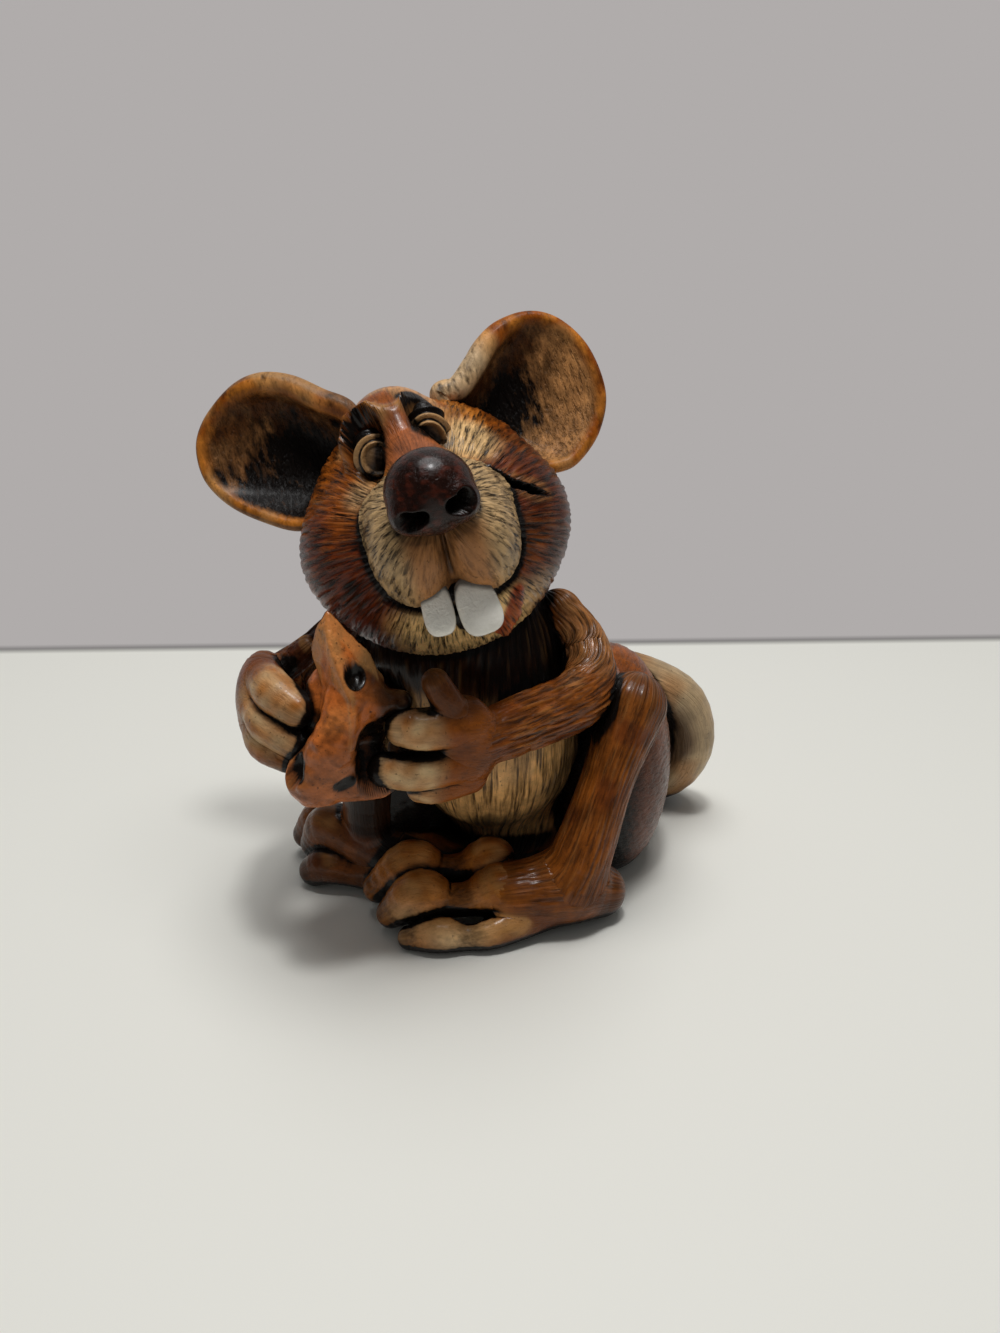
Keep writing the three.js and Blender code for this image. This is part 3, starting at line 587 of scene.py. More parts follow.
def loop(points, count):
    """A smooth closed outline: the cubic of curve, with the points taken round and round."""
    points = np.asarray(points, float)
    wrapped = np.concatenate([points[-2:], points, points[:3]])
    place = curve(wrapped, count * 8)
    share = np.linspace(0, len(wrapped) - 1, count * 8)
    at = np.arange(count) / count * len(points) + 2
    return np.stack([np.interp(at, share, place[:, axis]) for axis in range(points.shape[1])], -1)


def ear_dish(outline, deepest):
    """A dish: at a share s of the way from the deepest point to the outline, the sheet lies back by its depth
    times one less s to the power of 2.2, and by the rim's own lean times s squared. The front is the sheet
    moved forwards by half the wall. The back is the sheet moved backwards, more so towards the deepest
    point. A half circle as thick as the rim joins them."""
    rim = loop(outline, EAR_COLS)
    share = ((np.arange(EAR_ROWS) + 0.5) / EAR_ROWS)[:, None, None] ** 0.8
    flat = np.asarray(deepest, float) + share * (rim - deepest)
    rim_back = 1 + 0.2 * (np.abs(rim[:, 0]) - 20)
    back = rim_back * share[..., 0] ** 2 + (EAR_DEPTH * (1 - share**2.2))[..., 0]
    sheet = np.stack([flat[..., 0], back, flat[..., 1]], -1)
    forward = unit(np.cross(np.roll(sheet, -1, 1) - np.roll(sheet, 1, 1), np.gradient(sheet, axis=0)))
    forward *= -np.sign(forward[..., 1].mean())
    stem = ease(np.cos(2 * np.pi * (np.arange(EAR_COLS) / EAR_COLS - 0.13)), 0.25, 0.9)
    bead = EAR_RIM + (EAR_STEM - EAR_RIM) * stem
    half = EAR_WALL / 2 + (bead - EAR_WALL / 2) * ease(share[..., 0], 0.8, 1)
    front = sheet + forward * half[..., None]
    bulge = half + 5 * (1 - share[..., 0]) ** 1.5
    rear = sheet - forward * bulge[..., None]
    out = unit(sheet[-1] - sheet[-2])
    bend = (np.arange(1, 12) / 12 * np.pi)[:, None, None]
    roll = sheet[-1] + bead[:, None] * (np.cos(bend) * forward[-1] + np.sin(bend) * out)
    return np.concatenate([front, roll, rear[::-1]]), share


def ear_form(points, side):
    """A rough cup in the ear's place, for finding crevices."""
    centre = np.array([side * 27.7 - 1.2, 3, 18.3])
    cup = ball(points, centre, (14, 6.5, 15.5))
    bowl = ball(points, centre - (0, 4.1, 0), (11.4, 6.5, 12.9))
    return np.maximum(cup, -bowl)


print("ears drawn through", len(EAR_LEFT["outline"]), "points each")

# %% [markdown]
# ## Where the wash stays and where the brush touches
#
# The maker wipes black paint over the whole figurine and rubs it off again: it stays in the crevices. Then a
# nearly dry brush leaves pale paint on the ridges. The same crevice measure also darkens the wider gaps
# between parts, so there the wash is painted shade. Blender's ambient occlusion node could find crevices, but
# an exported model loses it. The distances are here already, so they are kept once in a block of points. A
# step outwards that doesn't gain its full distance is in a crevice, and a step inwards that doesn't is on a
# ridge.

# %% A block of distances for the whole figurine
BLOCK_STEP = 1.5
BLOCK_BELOW = 8
BLOCK_ABOVE = 9
TABLE_DROP = 0.4
CREVICE_STEPS = (1.5, 3.0, 6.0)
CREVICE_SHARES = (0.45, 0.35, 0.45)
RIDGE_STEP = 2.5
FACE_FORMS = (head_form, muzzle_form, nose_form)
LIMB_FORMS = (arm_left_form, arm_right_form, leg_left_form, leg_right_form)


def whole_form(points):
    """The least distance to any lump of the figurine and to the table, which is let down a little."""
    face = to_head(points)
    on_head = [form(face) for form in FACE_FORMS] + [ear_form(face, side) for side in (1, -1)]
    below = [form(points) for form in (body_form, cheese_form, tail_form, *LIMB_FORMS)]
    haunches = [thigh_form(points, side) for side in (1, -1)]
    return np.minimum.reduce([*on_head, *below, *haunches, points[..., 2] + TABLE_DROP])


block_low = np.array(cad_low) / MM - BLOCK_BELOW
block_high = np.array(cad_high) / MM + BLOCK_ABOVE
block_sides = [np.arange(low, high, BLOCK_STEP) for low, high in zip(block_low, block_high)]
block = whole_form(np.stack(np.meshgrid(*block_sides, indexing="ij"), -1).astype(np.float32))


def gap_at(points):
    """The distance at points, weighted between the eight nearest points of the block."""
    place = (points - block_low) / BLOCK_STEP
    cell = np.clip(place.astype(int), 0, np.array(block.shape) - 2)
    share = np.clip(place - cell, 0, 1)
    total = np.zeros(points.shape[:-1])
    for corner in np.ndindex(2, 2, 2):
        weight = np.where(corner, share, 1 - share).prod(-1)
        total += weight * block[tuple(np.moveaxis(cell + corner, -1, 0))]
    return total


def crevice(points, normal):
    """0 in the open and 1 in a tight crevice: the shares that three steps outwards lose of their distance."""
    lost = [1 - np.clip(gap_at(points + normal * step) / step, 0, 1) for step in CREVICE_STEPS]
    return np.clip(sum(share * part for share, part in zip(CREVICE_SHARES, lost)), 0, 1)


def ridge(points, normal):
    """0 on broad forms and 1 on a sharp ridge, from a step of 2.5 mm inwards."""
    return np.clip(1 + gap_at(points - normal * RIDGE_STEP) / RIDGE_STEP, 0, 1)


print("block of", block.size, "distances")

# %% [markdown]
# ## Hair
#
# The hair was cut into the clay with a wire tool, so it is relief and not only paint. Blender's hair would
# stand off the skin as fur does, and not lie in it like carving. So a comb bends space until the hairs run
# along its third axis, pressed together there. Plain round noise in that bent space comes out as long strokes
# that start, stop and fork.


# %% Noise and the comb
RIPPLE_WAVES = 14


def ripple(points, size, seed):
    """Smooth noise, mostly between -1 and 1: plane waves of about one size, in scattered directions."""
    scatter = np.random.default_rng(seed)
    aims = unit(scatter.normal(size=(RIPPLE_WAVES, 3)))
    axes = aims * scatter.uniform(0.7, 1.4, (RIPPLE_WAVES, 1)) * 2 * np.pi / size
    phase = scatter.uniform(0, 2 * np.pi, RIPPLE_WAVES)
    return np.sin(points @ axes.T + phase).sum(-1) / np.sqrt(RIPPLE_WAVES)


def comb_round(angle, radius, along, press=7):
    """Hairs that run along an axis: a ring of the given radius, and the way along pressed together."""
    return np.stack([radius * np.cos(angle), radius * np.sin(angle), along / press + 0 * angle], -1)


def stroke(comb, seed, size=1.0):
    """Carved hair, about -1 in the grooves and 1 on the hairs: even strokes with stronger ones among them."""
    return np.tanh(1.4 * (0.8 * ripple(comb, size, seed) + 0.35 * ripple(comb, 2.4 * size, seed + 1)))


print("comb ready,", RIPPLE_WAVES, "waves in each noise")

# %% [markdown]
# ## Paints
#
# Colours are written as the everyday 0 to 255 values and turned into linear light. Each piece mixes a few of
# them by where a point lies, and keeps the result in an attribute of the mesh. An image could hold the paint
# too, but the surface would have to be unwrapped for it, and the grids are fine enough without one.


# %% The paint box
def stain(red, green, blue):
    """A colour in linear light: the power of 2.4 of its share of 255, as screens have it."""
    share = np.array([red, green, blue]) / 255
    return np.where(share <= 0.04045, share / 12.92, ((share + 0.055) / 1.055) ** 2.4)


GOLD = stain(176, 106, 36)
AMBER = stain(144, 74, 16)
RUST = stain(104, 36, 10)
UMBER = stain(66, 35, 15)
PLUM = stain(104, 62, 46)
TAN = stain(184, 130, 78)
CREAM = stain(206, 172, 126)
BONE = stain(204, 180, 142)
TERRACOTTA = stain(148, 82, 42)
LIP_RED = stain(168, 66, 26)
CHEESE = stain(184, 98, 40)
NOSE = stain(34, 14, 8)
NOSE_RED = stain(72, 28, 15)
ENAMEL = stain(248, 244, 234)
# Black of the wash, also used for painted shade in crevices, in the lap and behind the cheese.
BLACK_WASH_AND_SHADE = stain(14, 8, 5)
# Pale of the dry brush, also used for painted highlights on the tops of toes and fingers.
DRY_BRUSH_AND_HIGHLIGHT = stain(218, 166, 102)
CHIN_CREAM_LIT = stain(250, 206, 138)
CHEEKBONE = stain(226, 184, 126)
WHISKER_PAD = stain(192, 159, 114)
LID = stain(168, 130, 88)
LID_SHADE = stain(70, 54, 42)
EAR_BACK = stain(104, 84, 66)
BELLY = stain(236, 182, 116)
THROAT_SHADE = stain(24, 9, 4)
CHEESE_PALE = stain(196, 116, 56)
CHEESE_FOOT = stain(146, 88, 50)


def blend(first, second, share):
    """The way from one colour to another by a share at each point."""
    return first + (second - first) * np.asarray(share)[..., None]


def plain(points, colour):
    """One colour at every point."""
    return np.broadcast_to(colour, points.shape).copy()


print("amber in linear light:", AMBER.round(3).tolist())

# %% [markdown]
# ## Resin, stained and glazed
#
# One recipe serves all: stain from the attribute, blotches of thicker and thinner paint, black wash and
# painted shade in the grooves and crevices, broken up along the hair, a dry brush with painted highlights on
# the ridges, and a thin semi-gloss varnish. The finest hairs are thinner than the mesh can hold. Smooth noise
# on the comb has long narrow hollows with tapered ends, so these become the scratches of the wire tool, black
# in colour and low in the bump.


# %% Nodes in few words
def wire(tree, slot, value):
    """Fills an input of a node: linked where the value is a socket, and otherwise set to it."""
    if isinstance(value, bpy.types.NodeSocket):
        tree.links.new(value, slot)
    else:
        slot.default_value = value


def node(tree, kind, **values):
    """A new node with some of its inputs filled by name."""
    made = tree.nodes.new(kind)
    for name, value in values.items():
        wire(tree, made.inputs[name.replace("_", " ")], value)
    return made


def reckon(tree, operation, *values, clamp=False):
    """One sum of sockets and plain numbers, held between 0 and 1 if it is clamped."""
    made = tree.nodes.new("ShaderNodeMath")
    made.operation = operation
    made.use_clamp = clamp
    for slot, value in zip(made.inputs, values):
        wire(tree, slot, value)
    return made.outputs[0]


def spread(tree, value, low, high, first=0.0, last=1.0):
    """Runs evenly from the first value at low to the last at high, and keeps to them beyond."""
    ends = {"From_Min": low, "From_Max": high, "To_Min": first, "To_Max": last}
    return node(tree, "ShaderNodeMapRange", Value=value, **ends).outputs["Result"]


def speckle(tree, place, scale, detail, roughness):
    """Blender's own noise at a place, about 0.5 on the whole."""
    values = {"Vector": place, "Scale": scale, "Detail": detail, "Roughness": roughness}
    return node(tree, "ShaderNodeTexNoise", **values).outputs[0]


def mixed(tree, share, first, second):
    """The way from a first colour to a second one by a share."""
    made = tree.nodes.new("ShaderNodeMix")
    made.data_type = "RGBA"
    for title, value in (("Factor", share), ("A", first), ("B", second)):
        wire(tree, made.inputs[title], value)
    return made.outputs["Result"]


def read_attribute(tree, title, output):
    """What the mesh keeps under a title, by one of the outputs Color, Vector and Fac."""
    made = tree.nodes.new("ShaderNodeAttribute")
    made.attribute_name = title
    return made.outputs[output]


print("helpers for nodes ready")

# %% The recipe
HAIR_BUMP = {"Strength": 0.85, "Distance": 0.0004}
VARNISH_ROUGHNESS = 0.2
RESIN_GLOSS = 0.1


def painted_resin(name, rough, coat, blotch=0.3, specks=0.5, streak=1.2):
    """Stain, blotches, specks, wash with painted shade, scratched hair, dry brush with painted highlights and
    varnish on one principled shader.
    """
    material = bpy.data.materials.new(name)
    material.use_nodes = True
    tree = material.node_tree
    shader = tree.nodes["Principled BSDF"]
    place = tree.nodes.new("ShaderNodeTexCoord").outputs["Object"]
    comb = read_attribute(tree, "comb", "Vector")

    stained = tree.nodes.new("ShaderNodeVectorMath")
    stained.operation = "SCALE"
    wire(tree, stained.inputs[0], read_attribute(tree, "paint", "Color"))
    thick = spread(tree, speckle(tree, place, 260.0, 4.0, 0.6), 0.3, 0.7, 1 - blotch, 1 + blotch)
    wire(tree, stained.inputs["Scale"], thick)

    streaks = speckle(tree, comb, 1100.0, 3.0, 0.65)
    broken = spread(tree, streaks, 0.35, 0.68, 0.25, -0.3)
    # The wash attribute carries the black wash and the painted shade; both mix towards black below.
    streaked_wash_and_shade = reckon(tree, "MULTIPLY_ADD", broken, streak, read_attribute(tree, "wash_and_shade", "Fac"))
    scratch = spread(tree, speckle(tree, comb, 1500.0, 3.0, 0.6), 0.35, 0.52, 0.95, 0.0)
    hairs = reckon(tree, "MULTIPLY", scratch, read_attribute(tree, "hair", "Fac"))
    lined = reckon(tree, "MAXIMUM", streaked_wash_and_shade, hairs)
    spots = spread(tree, speckle(tree, place, 1500.0, 2.0, 0.5), 0.64, 0.74, 0.0, specks)
    darkening = reckon(tree, "MAXIMUM", lined, spots, clamp=True)

    # Dry brush and painted highlights mix towards the pale brush colour.
    brush_and_highlight_share = read_attribute(tree, "brush_and_highlight", "Fac")
    brushed_and_lit = mixed(tree, brush_and_highlight_share, stained.outputs["Vector"], (*DRY_BRUSH_AND_HIGHLIGHT, 1))
    wire(tree, shader.inputs["Base Color"], mixed(tree, darkening, brushed_and_lit, (*BLACK_WASH_AND_SHADE, 1)))
    matt = spread(tree, streaks, 0.3, 0.7, rough - 0.08, rough + 0.1)
    wire(tree, shader.inputs["Roughness"], matt)
    relief = reckon(tree, "SUBTRACT", streaks, hairs)
    bump = node(tree, "ShaderNodeBump", Height=relief, **HAIR_BUMP)
    wire(tree, shader.inputs["Normal"], bump.outputs["Normal"])
    shader.inputs["Coat Weight"].default_value = coat
    shader.inputs["Coat Roughness"].default_value = VARNISH_ROUGHNESS
    shader.inputs["Specular IOR Level"].default_value = RESIN_GLOSS
    return material


FUR_PAINT = painted_resin("fur_paint", 0.36, 0.34, blotch=0.4, streak=0.8)
CREAM_PAINT = painted_resin("cream_paint", 0.42, 0.25, blotch=0.22, specks=0.6, streak=0.9)
EAR_PAINT = painted_resin("ear_paint", 0.4, 0.06, blotch=0.45, specks=0.5)
NOSE_GLAZE = painted_resin("nose_glaze", 0.28, 0.35, blotch=0.5, specks=0.4)
TOOTH_ENAMEL = painted_resin("tooth_enamel", 0.25, 0.5, blotch=0.05, specks=0.0, streak=0.0)
CHEESE_PAINT = painted_resin("cheese_paint", 0.32, 0.4, blotch=0.45, specks=0.8, streak=0.4)
print("paints:", [m.name for m in bpy.data.materials if m.name.endswith(("paint", "glaze", "enamel"))])

# %% [markdown]
# ## From a grid to a piece
#
# Every piece is a closed grid: columns that wrap round and a point at each pole. Whole arrays go into the
# mesh with foreach_set, faces are turned outwards by the sign of the volume, and the piece rides on the CAD
# body and takes the place of its nodes. Pieces that share a melted form would lie in exactly one place where
# they meet, and flicker, so each dips half a millimetre where another lump is nearer.


# %% The casting bench
def grid_faces(rows, cols):
    """Four corners for each cell of a grid whose columns wrap, and a fan of three corners round each pole."""
    row, col = np.meshgrid(np.arange(rows - 1), np.arange(cols), indexing="ij")
    corner = row * cols + col
    beside = row * cols + (col + 1) % cols
    cells = np.stack([corner, beside, beside + cols, corner + cols], -1)
    col = np.arange(cols)
    after = (col + 1) % cols
    last = (rows - 1) * cols
    first_fan = np.stack([np.full(cols, rows * cols), after, col], -1)
    last_fan = np.stack([np.full(cols, rows * cols + 1), last + col, last + after], -1)
    return cells.reshape(-1, 4), np.concatenate([first_fan, last_fan])


def with_poles(grid):
    """A grid as a list of points, followed by the middle of its first row and of its last."""
    return np.concatenate([grid.reshape(-1, grid.shape[-1]), grid[:1].mean(1), grid[-1:].mean(1)])


FULL_WASH_AND_SHADE = 1.3  # above one, so that the streaks don't break up a full wash


def keep(mesh, title, kind, field, values):
    """Stores one value for each point of a mesh as an attribute."""
    mesh.attributes.new(title, kind, "POINT").data.foreach_set(field, values.ravel())


def cast(name, points, kept, finish):
    """Makes the piece of one CAD node from a grid of points in mm and the attributes kept with it."""
    cells, fans = grid_faces(*points.shape[:2])
    places = with_poles(points)
    a, b, c, d = (places[cells[:, corner]] for corner in range(4))
    volume = (a * (np.cross(b, c) + np.cross(c, d))).sum() / 6
    if volume < 0:
        cells = cells[:, ::-1]
        fans = fans[:, ::-1]
    corners = np.concatenate([cells.ravel(), fans.ravel()])
    starts = np.concatenate([np.arange(len(cells)) * 4, cells.size + np.arange(len(fans)) * 3])
    mesh = bpy.data.meshes.new(name)
    mesh.vertices.add(len(places))
    mesh.vertices.foreach_set("co", (places * MM).ravel())
    mesh.loops.add(len(corners))
    mesh.loops.foreach_set("vertex_index", corners.astype(np.int32))
    mesh.polygons.add(len(starts))
    mesh.polygons.foreach_set("loop_start", starts.astype(np.int32))
    mesh.update(calc_edges=True)
    mesh.shade_smooth()
    paint = np.concatenate([with_poles(kept["paint"]), np.ones((len(places), 1))], 1)
    keep(mesh, "paint", "FLOAT_COLOR", "color", paint)
    keep(mesh, "comb", "FLOAT_VECTOR", "vector", with_poles(kept["comb"]) * MM)
    for title, full in (("wash_and_shade", FULL_WASH_AND_SHADE), ("brush_and_highlight", 1), ("hair", 1)):
        share = np.clip(kept.get(title, np.zeros(points.shape[:2])), 0, 1)
        keep(mesh, title, "FLOAT", "value", full * with_poles(share[..., None]))
    mesh.materials.append(finish)
    piece = bpy.data.objects.new(name, mesh)
    bpy.context.scene.collection.objects.link(piece)
    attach(piece, "root")
    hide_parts(name)
    print(f"{name}: {len(places)} points, {abs(volume) / 1000:.1f} cubic cm")


def weather(points, normal, hair=0.0, wash_and_shade=1.0, brush_and_highlight=0.35):
    """Black wash with painted shade, and dry brush: the wash lies between hairs and in crevices, where it
    also paints the shade that falls between parts, and the brush catches ridges.
    """
    deep = crevice(points, normal)
    grooves = np.clip(-hair, 0, 1) ** 1.2
    tops = np.clip(hair, 0, 1) ** 2
    # The crevice share darkens like the wash, and also paints the shade between parts.
    wash_shade_amount = wash_and_shade * np.clip(1.15 * ease(deep, 0.25, 0.85) + 0.45 * grooves, 0, 1)
    bare = 1 - ease(deep, 0.1, 0.5)
    light = brush_and_highlight * np.clip(1.6 * ease(ridge(points, normal), 0.25, 0.8) + 0.5 * tops, 0, 1) * bare
    return wash_shade_amount, light


DIP = 0.5


def dipped(form, own, width=1.0):
    """The shared form, half a millimetre lower where the piece's own lump isn't the nearest, and no further
    out than the own lump with its share of the melt. At the border of two lumps both lie a quarter of the
    width of the melt above the shared form."""

    def lowered(points):
        """The dipped distance at points."""
        shared = form(points)
        beyond = own(points) - (width(points) if callable(width) else width) / 4
        return np.maximum(shared + DIP * np.clip((beyond - shared + 0.05) / 0.5, 0, 1), beyond - 0.15)

    return lowered


print("bench ready: a grid of 3 by 4 has faces", [part.shape for part in grid_faces(3, 4)])

# %% [markdown]
# ## Head
#
# Amber and rust fur covers the cheeks, and the bridge of the nose and the hood of the brow are smooth. The
# poles of the grid could stand at the crown and the neck, as on a globe. But the hair fans out from the
# muzzle, so the pole is at the nose: the rows are rings round the face, and the hair runs down the columns.

# %% Head
aim = globe(190, 512, (0, -1, 0), (0, 0, 1))
face = skin(np.array([0, -1.0, -3.0]), aim, dipped(head_form, skull_form, face_width), 45)
face_normal = outward(face, aim)
x, y, z = np.moveaxis(face, -1, 0)
bridge = rod(face, BRIDGE_LINE, BRIDGE_WIDTH)
hood = 1 - ease(ball(face, *BROW), 0.5, 2.5)
angle = np.arctan2(z + 8, x - 1.4)
comb = comb_round(angle, 24, np.hypot(x - 1.4, z + 8) + 0.6 * y)
bald = np.maximum(1 - ease(bridge, 0.2, 1.6), 0.85 * hood)
furry = 1 - bald
hair = stroke(comb, 11, 0.9) * furry
patch = ripple(face, 14, 5)


def near(points, place, reach, fade):
    """1 near a place and 0 far from it."""
    return 1 - ease(np.linalg.norm(points - np.asarray(place, float), axis=-1), reach, reach + fade)


paint = blend(plain(face, GOLD), AMBER, ease(np.abs(x - 1) + 3 * patch, 9, 14))
paint = blend(paint, RUST, 0.9 * ease(-z + np.where(x > 0, 0.75, 0.35) * np.abs(x) + 3 * patch, 2, 12))
paint = blend(paint, UMBER, 0.7 * ease(y + 3 * patch, 2, 14))
# Painted light: the chin's cream is painted brighter where its underside would lie in shade.
lit_chin_cream = ease(-z, 17, 21.5) * ease(-y, 0, 6) * (1 - ease(np.abs(x - 1), 9, 16))
paint = blend(paint, CHIN_CREAM_LIT, 0.95 * lit_chin_cream)
paint = blend(paint, CHEEKBONE, near(face, (10.2, -16, 8.5), 3, 5))
paint = blend(paint, CREAM, 0.7 * near(face, (-10.2, -18, 2), 1, 4))
paint = blend(paint, blend(plain(face, TAN), AMBER, ease(patch + ripple(face, 5, 6), -0.6, 0.9)), hood)
paint = blend(paint, TERRACOTTA, 1 - ease(bridge, 0.1, 0.9))
paint = blend(paint, AMBER, 0.6 * near(face, (14.5, -16, -12), 3, 4))
paint = blend(paint, UMBER, 0.45 * ease(x + 2 * patch, 13, 19) * (1 - ease(z, 6, 12)))
paint = blend(paint, CREAM, 0.6 * near(face, (14.5, -11, -20), 2, 4))
lip = rod(face, LIP_RIDGE, LIP_RIDGE_WIDTH)
paint = blend(paint, LIP_RED, 1 - ease(lip, 0.2, 1.2))
points = from_head(face + face_normal * (0.15 * hair)[..., None])
normal = face_normal @ HEAD_TURN.T
wash_and_shade, brush_and_highlight = weather(points, normal, hair, brush_and_highlight=0.2)
# Painted shade: black under the overhanging pads, in the eye sockets and in the mouth behind the teeth.
lip_shade = (1 - ease(muzzle_form(face), 0.5, 2.0)) * (1 - ease(z, -2, 3))
chin = ease(-z, 12, 20)
behind_teeth = rod(face, [(0.0, -23, -17), (0.9, -17, -25.5)], [1.4, 0.9])
socket_and_mouth_shade = np.maximum(0.8 * (1 - ease(sockets(face), -1.4, 0.4)), 1 - ease(behind_teeth, -0.1, 0.5))
wash_and_shade = np.maximum(wash_and_shade * (1 - 0.85 * chin), np.maximum(lip_shade, socket_and_mouth_shade))
kept = {"paint": paint, "comb": comb, "wash_and_shade": wash_and_shade, "brush_and_highlight": brush_and_highlight, "hair": 0.35 + 0.65 * furry}
cast("head", points, kept, FUR_PAINT)

# %% [markdown]
# ## Muzzle and nose
#
# The whisker pads are combed back from the nose, with black wash between the strokes. The nose is a glazed
# ball. A sphere from the menu has no wings and no nostrils, so rays draw it too, with their pole in front,
# where the nostrils are.

# %% Muzzle
aim = globe(200, 280, (0, -1, 0), (0, 0, 1))
pads = skin(np.array([1.4, -19.0, -8.0]), aim, dipped(head_form, muzzle_form, face_width), 17)
pads_normal = outward(pads, aim)
x, y, z = np.moveaxis(pads, -1, 0)
comb = comb_round(np.arctan2(z + 4, x - 1.4), 13, np.hypot(x - 1.4, z + 4) + 0.6 * y, press=5.5)
smoothed = (1 - ease(np.abs(x - 1.6), 5, 9)) * ease(-z, 6, 10)
hair = stroke(comb, 31, 0.8) * (1 - 0.8 * smoothed)
paint = blend(plain(pads, WHISKER_PAD), blend(plain(pads, TAN), TERRACOTTA, 0.4), 0.9 * smoothed)
points = from_head(pads + pads_normal * (0.12 * hair)[..., None])
normal = pads_normal @ HEAD_TURN.T
wash_and_shade, brush_and_highlight = weather(points, normal, 0.9 * hair, 0.75)
wash_and_shade = np.maximum(wash_and_shade * (1 - 0.5 * smoothed), 0.5 * (1 - ease(rod(pads, CLEFT, CLEFT_WIDTH), 0.0, 0.35)))
kept = {"paint": paint, "comb": comb, "wash_and_shade": wash_and_shade, "brush_and_highlight": brush_and_highlight, "hair": 1 - 0.6 * smoothed}
cast("muzzle", points, kept, CREAM_PAINT)

# %% Nose
aim = globe(130, 170, (0, -1, 0), (0, 0, 1))
snout = skin(NOSE_CENTRE, aim, nose_form, 12)
snout_normal = outward(snout, aim)
mottle = ease(0.7 * ripple(snout, 2.6, 3) + 0.6 * ripple(snout, 1.2, 4), -0.3, 1.3)
paint = blend(plain(snout, NOSE), NOSE_RED, 0.8 * mottle)
points = from_head(snout)
normal = snout_normal @ HEAD_TURN.T
wash_and_shade, brush_and_highlight = weather(points, normal, brush_and_highlight=0.0)
wash_and_shade = np.maximum(0.7 * wash_and_shade, 1 - ease(nostrils(snout - NOSE_CENTRE), 0.1, 0.6))
cast("nose", points, {"paint": paint, "comb": points, "wash_and_shade": wash_and_shade, "brush_and_highlight": brush_and_highlight}, NOSE_GLAZE)

# %% [markdown]
# ## Eyes and teeth
#
# The eyes are shut in a laugh: two folds of lid arch over each. They could be bent tubes laid on a ball. A
# wave round a point low on the ball makes them in one surface, with wash in the furrows. The teeth are blocks
# with rounded corners. A bevelled cube would do, but its faces are uneven, so a superellipsoid was taken: its
# radius in any direction is a sum of powers.


# %% Eyes
def eye(name, centre, low, first):
    """A ball whose front carries arched folds: a wave of the distance from a low point of the ball, with a
    fold at the first distance, one more inside it, and the lid flat within. Outside the folds it is painted
    black, as painted shade in the socket."""
    aim = globe(130, 150, (0, -1, 0), (0, 0, 1))
    lid = np.asarray(centre) + aim / np.linalg.norm(aim / np.array(EYE_RADII), axis=-1)[..., None]
    arch = np.hypot(lid[..., 0] - low[0], lid[..., 2] - low[1])
    folded = ease(arch, first - 2.0, first - 1.6)
    fold = np.cos(2 * np.pi * (arch - first) / 1.5) * folded
    lid_normal = outward(lid, aim)
    points = from_head(lid + lid_normal * (0.32 * fold - 0.4 * (1 - folded))[..., None])
    normal = lid_normal @ HEAD_TURN.T
    wash_and_shade, brush_and_highlight = weather(points, normal, 0.9 * fold, 0.7, 0.15)
    # Painted shade: black in the socket outside the folds.
    wash_and_shade = np.maximum(wash_and_shade, ease(arch, first + 0.5, first + 1.0))
    wash_and_shade = np.maximum(wash_and_shade, 0.85 * ease(-fold, 0.2, 0.9))
    paint = blend(plain(lid, LID_SHADE), LID, folded)
    cast(name, points, {"paint": paint, "comb": points, "wash_and_shade": wash_and_shade, "brush_and_highlight": brush_and_highlight}, CREAM_PAINT)


eye("eye_right", EYE_RIGHT, (-6.1, 8.2), 4.2)
eye("eye_left", EYE_LEFT, (3.7, 9.4), 4.0)


# %% Teeth
def tooth(name, centre, half, flare, lean):
    """A block with round corners: the radius is the sum of the powers of the direction over the half sizes,
    to minus one over the power. It gets wider downwards by the flare."""
    aim = globe(70, 90, (0, 0, 1), (1, 0, 0))
    power = 3.0
    far = (np.abs(aim / np.array(half)) ** power).sum(-1) ** (-1 / power)
    block_points = aim * far[..., None]
    block_points[..., 0] *= 1 - flare * block_points[..., 2] / half[2]
    points = from_head(block_points @ turning(1, lean).T + np.asarray(centre))
    normal = outward(points, aim @ HEAD_TURN.T)
    wash_and_shade, brush_and_highlight = weather(points, normal, brush_and_highlight=0.0)
    kept = {"paint": plain(points, ENAMEL), "comb": points, "wash_and_shade": 0.6 * wash_and_shade, "brush_and_highlight": brush_and_highlight}
    cast(name, points, kept, TOOTH_ENAMEL)


tooth("tooth_right", (-2.6, -24.2, -20.3), (2.7, 1.7, 4.9), 0.06, np.radians(2))
tooth("tooth_left", (4.2, -24.2, -21.5), (3.6, 1.7, 5.3), 0.1, np.radians(-6))


# %% [markdown]
# ## The ears in paint
#
# The dishes were drawn above. Their rims are golden, their bowls painted dark as shade, and the rat's left
# one is painted pale down one side, as painted light. A gradient in the material could shade a bowl, but its
# middle isn't the middle of the ear. So the shade comes from the same share of the way to the rim that shaped
# the dish.


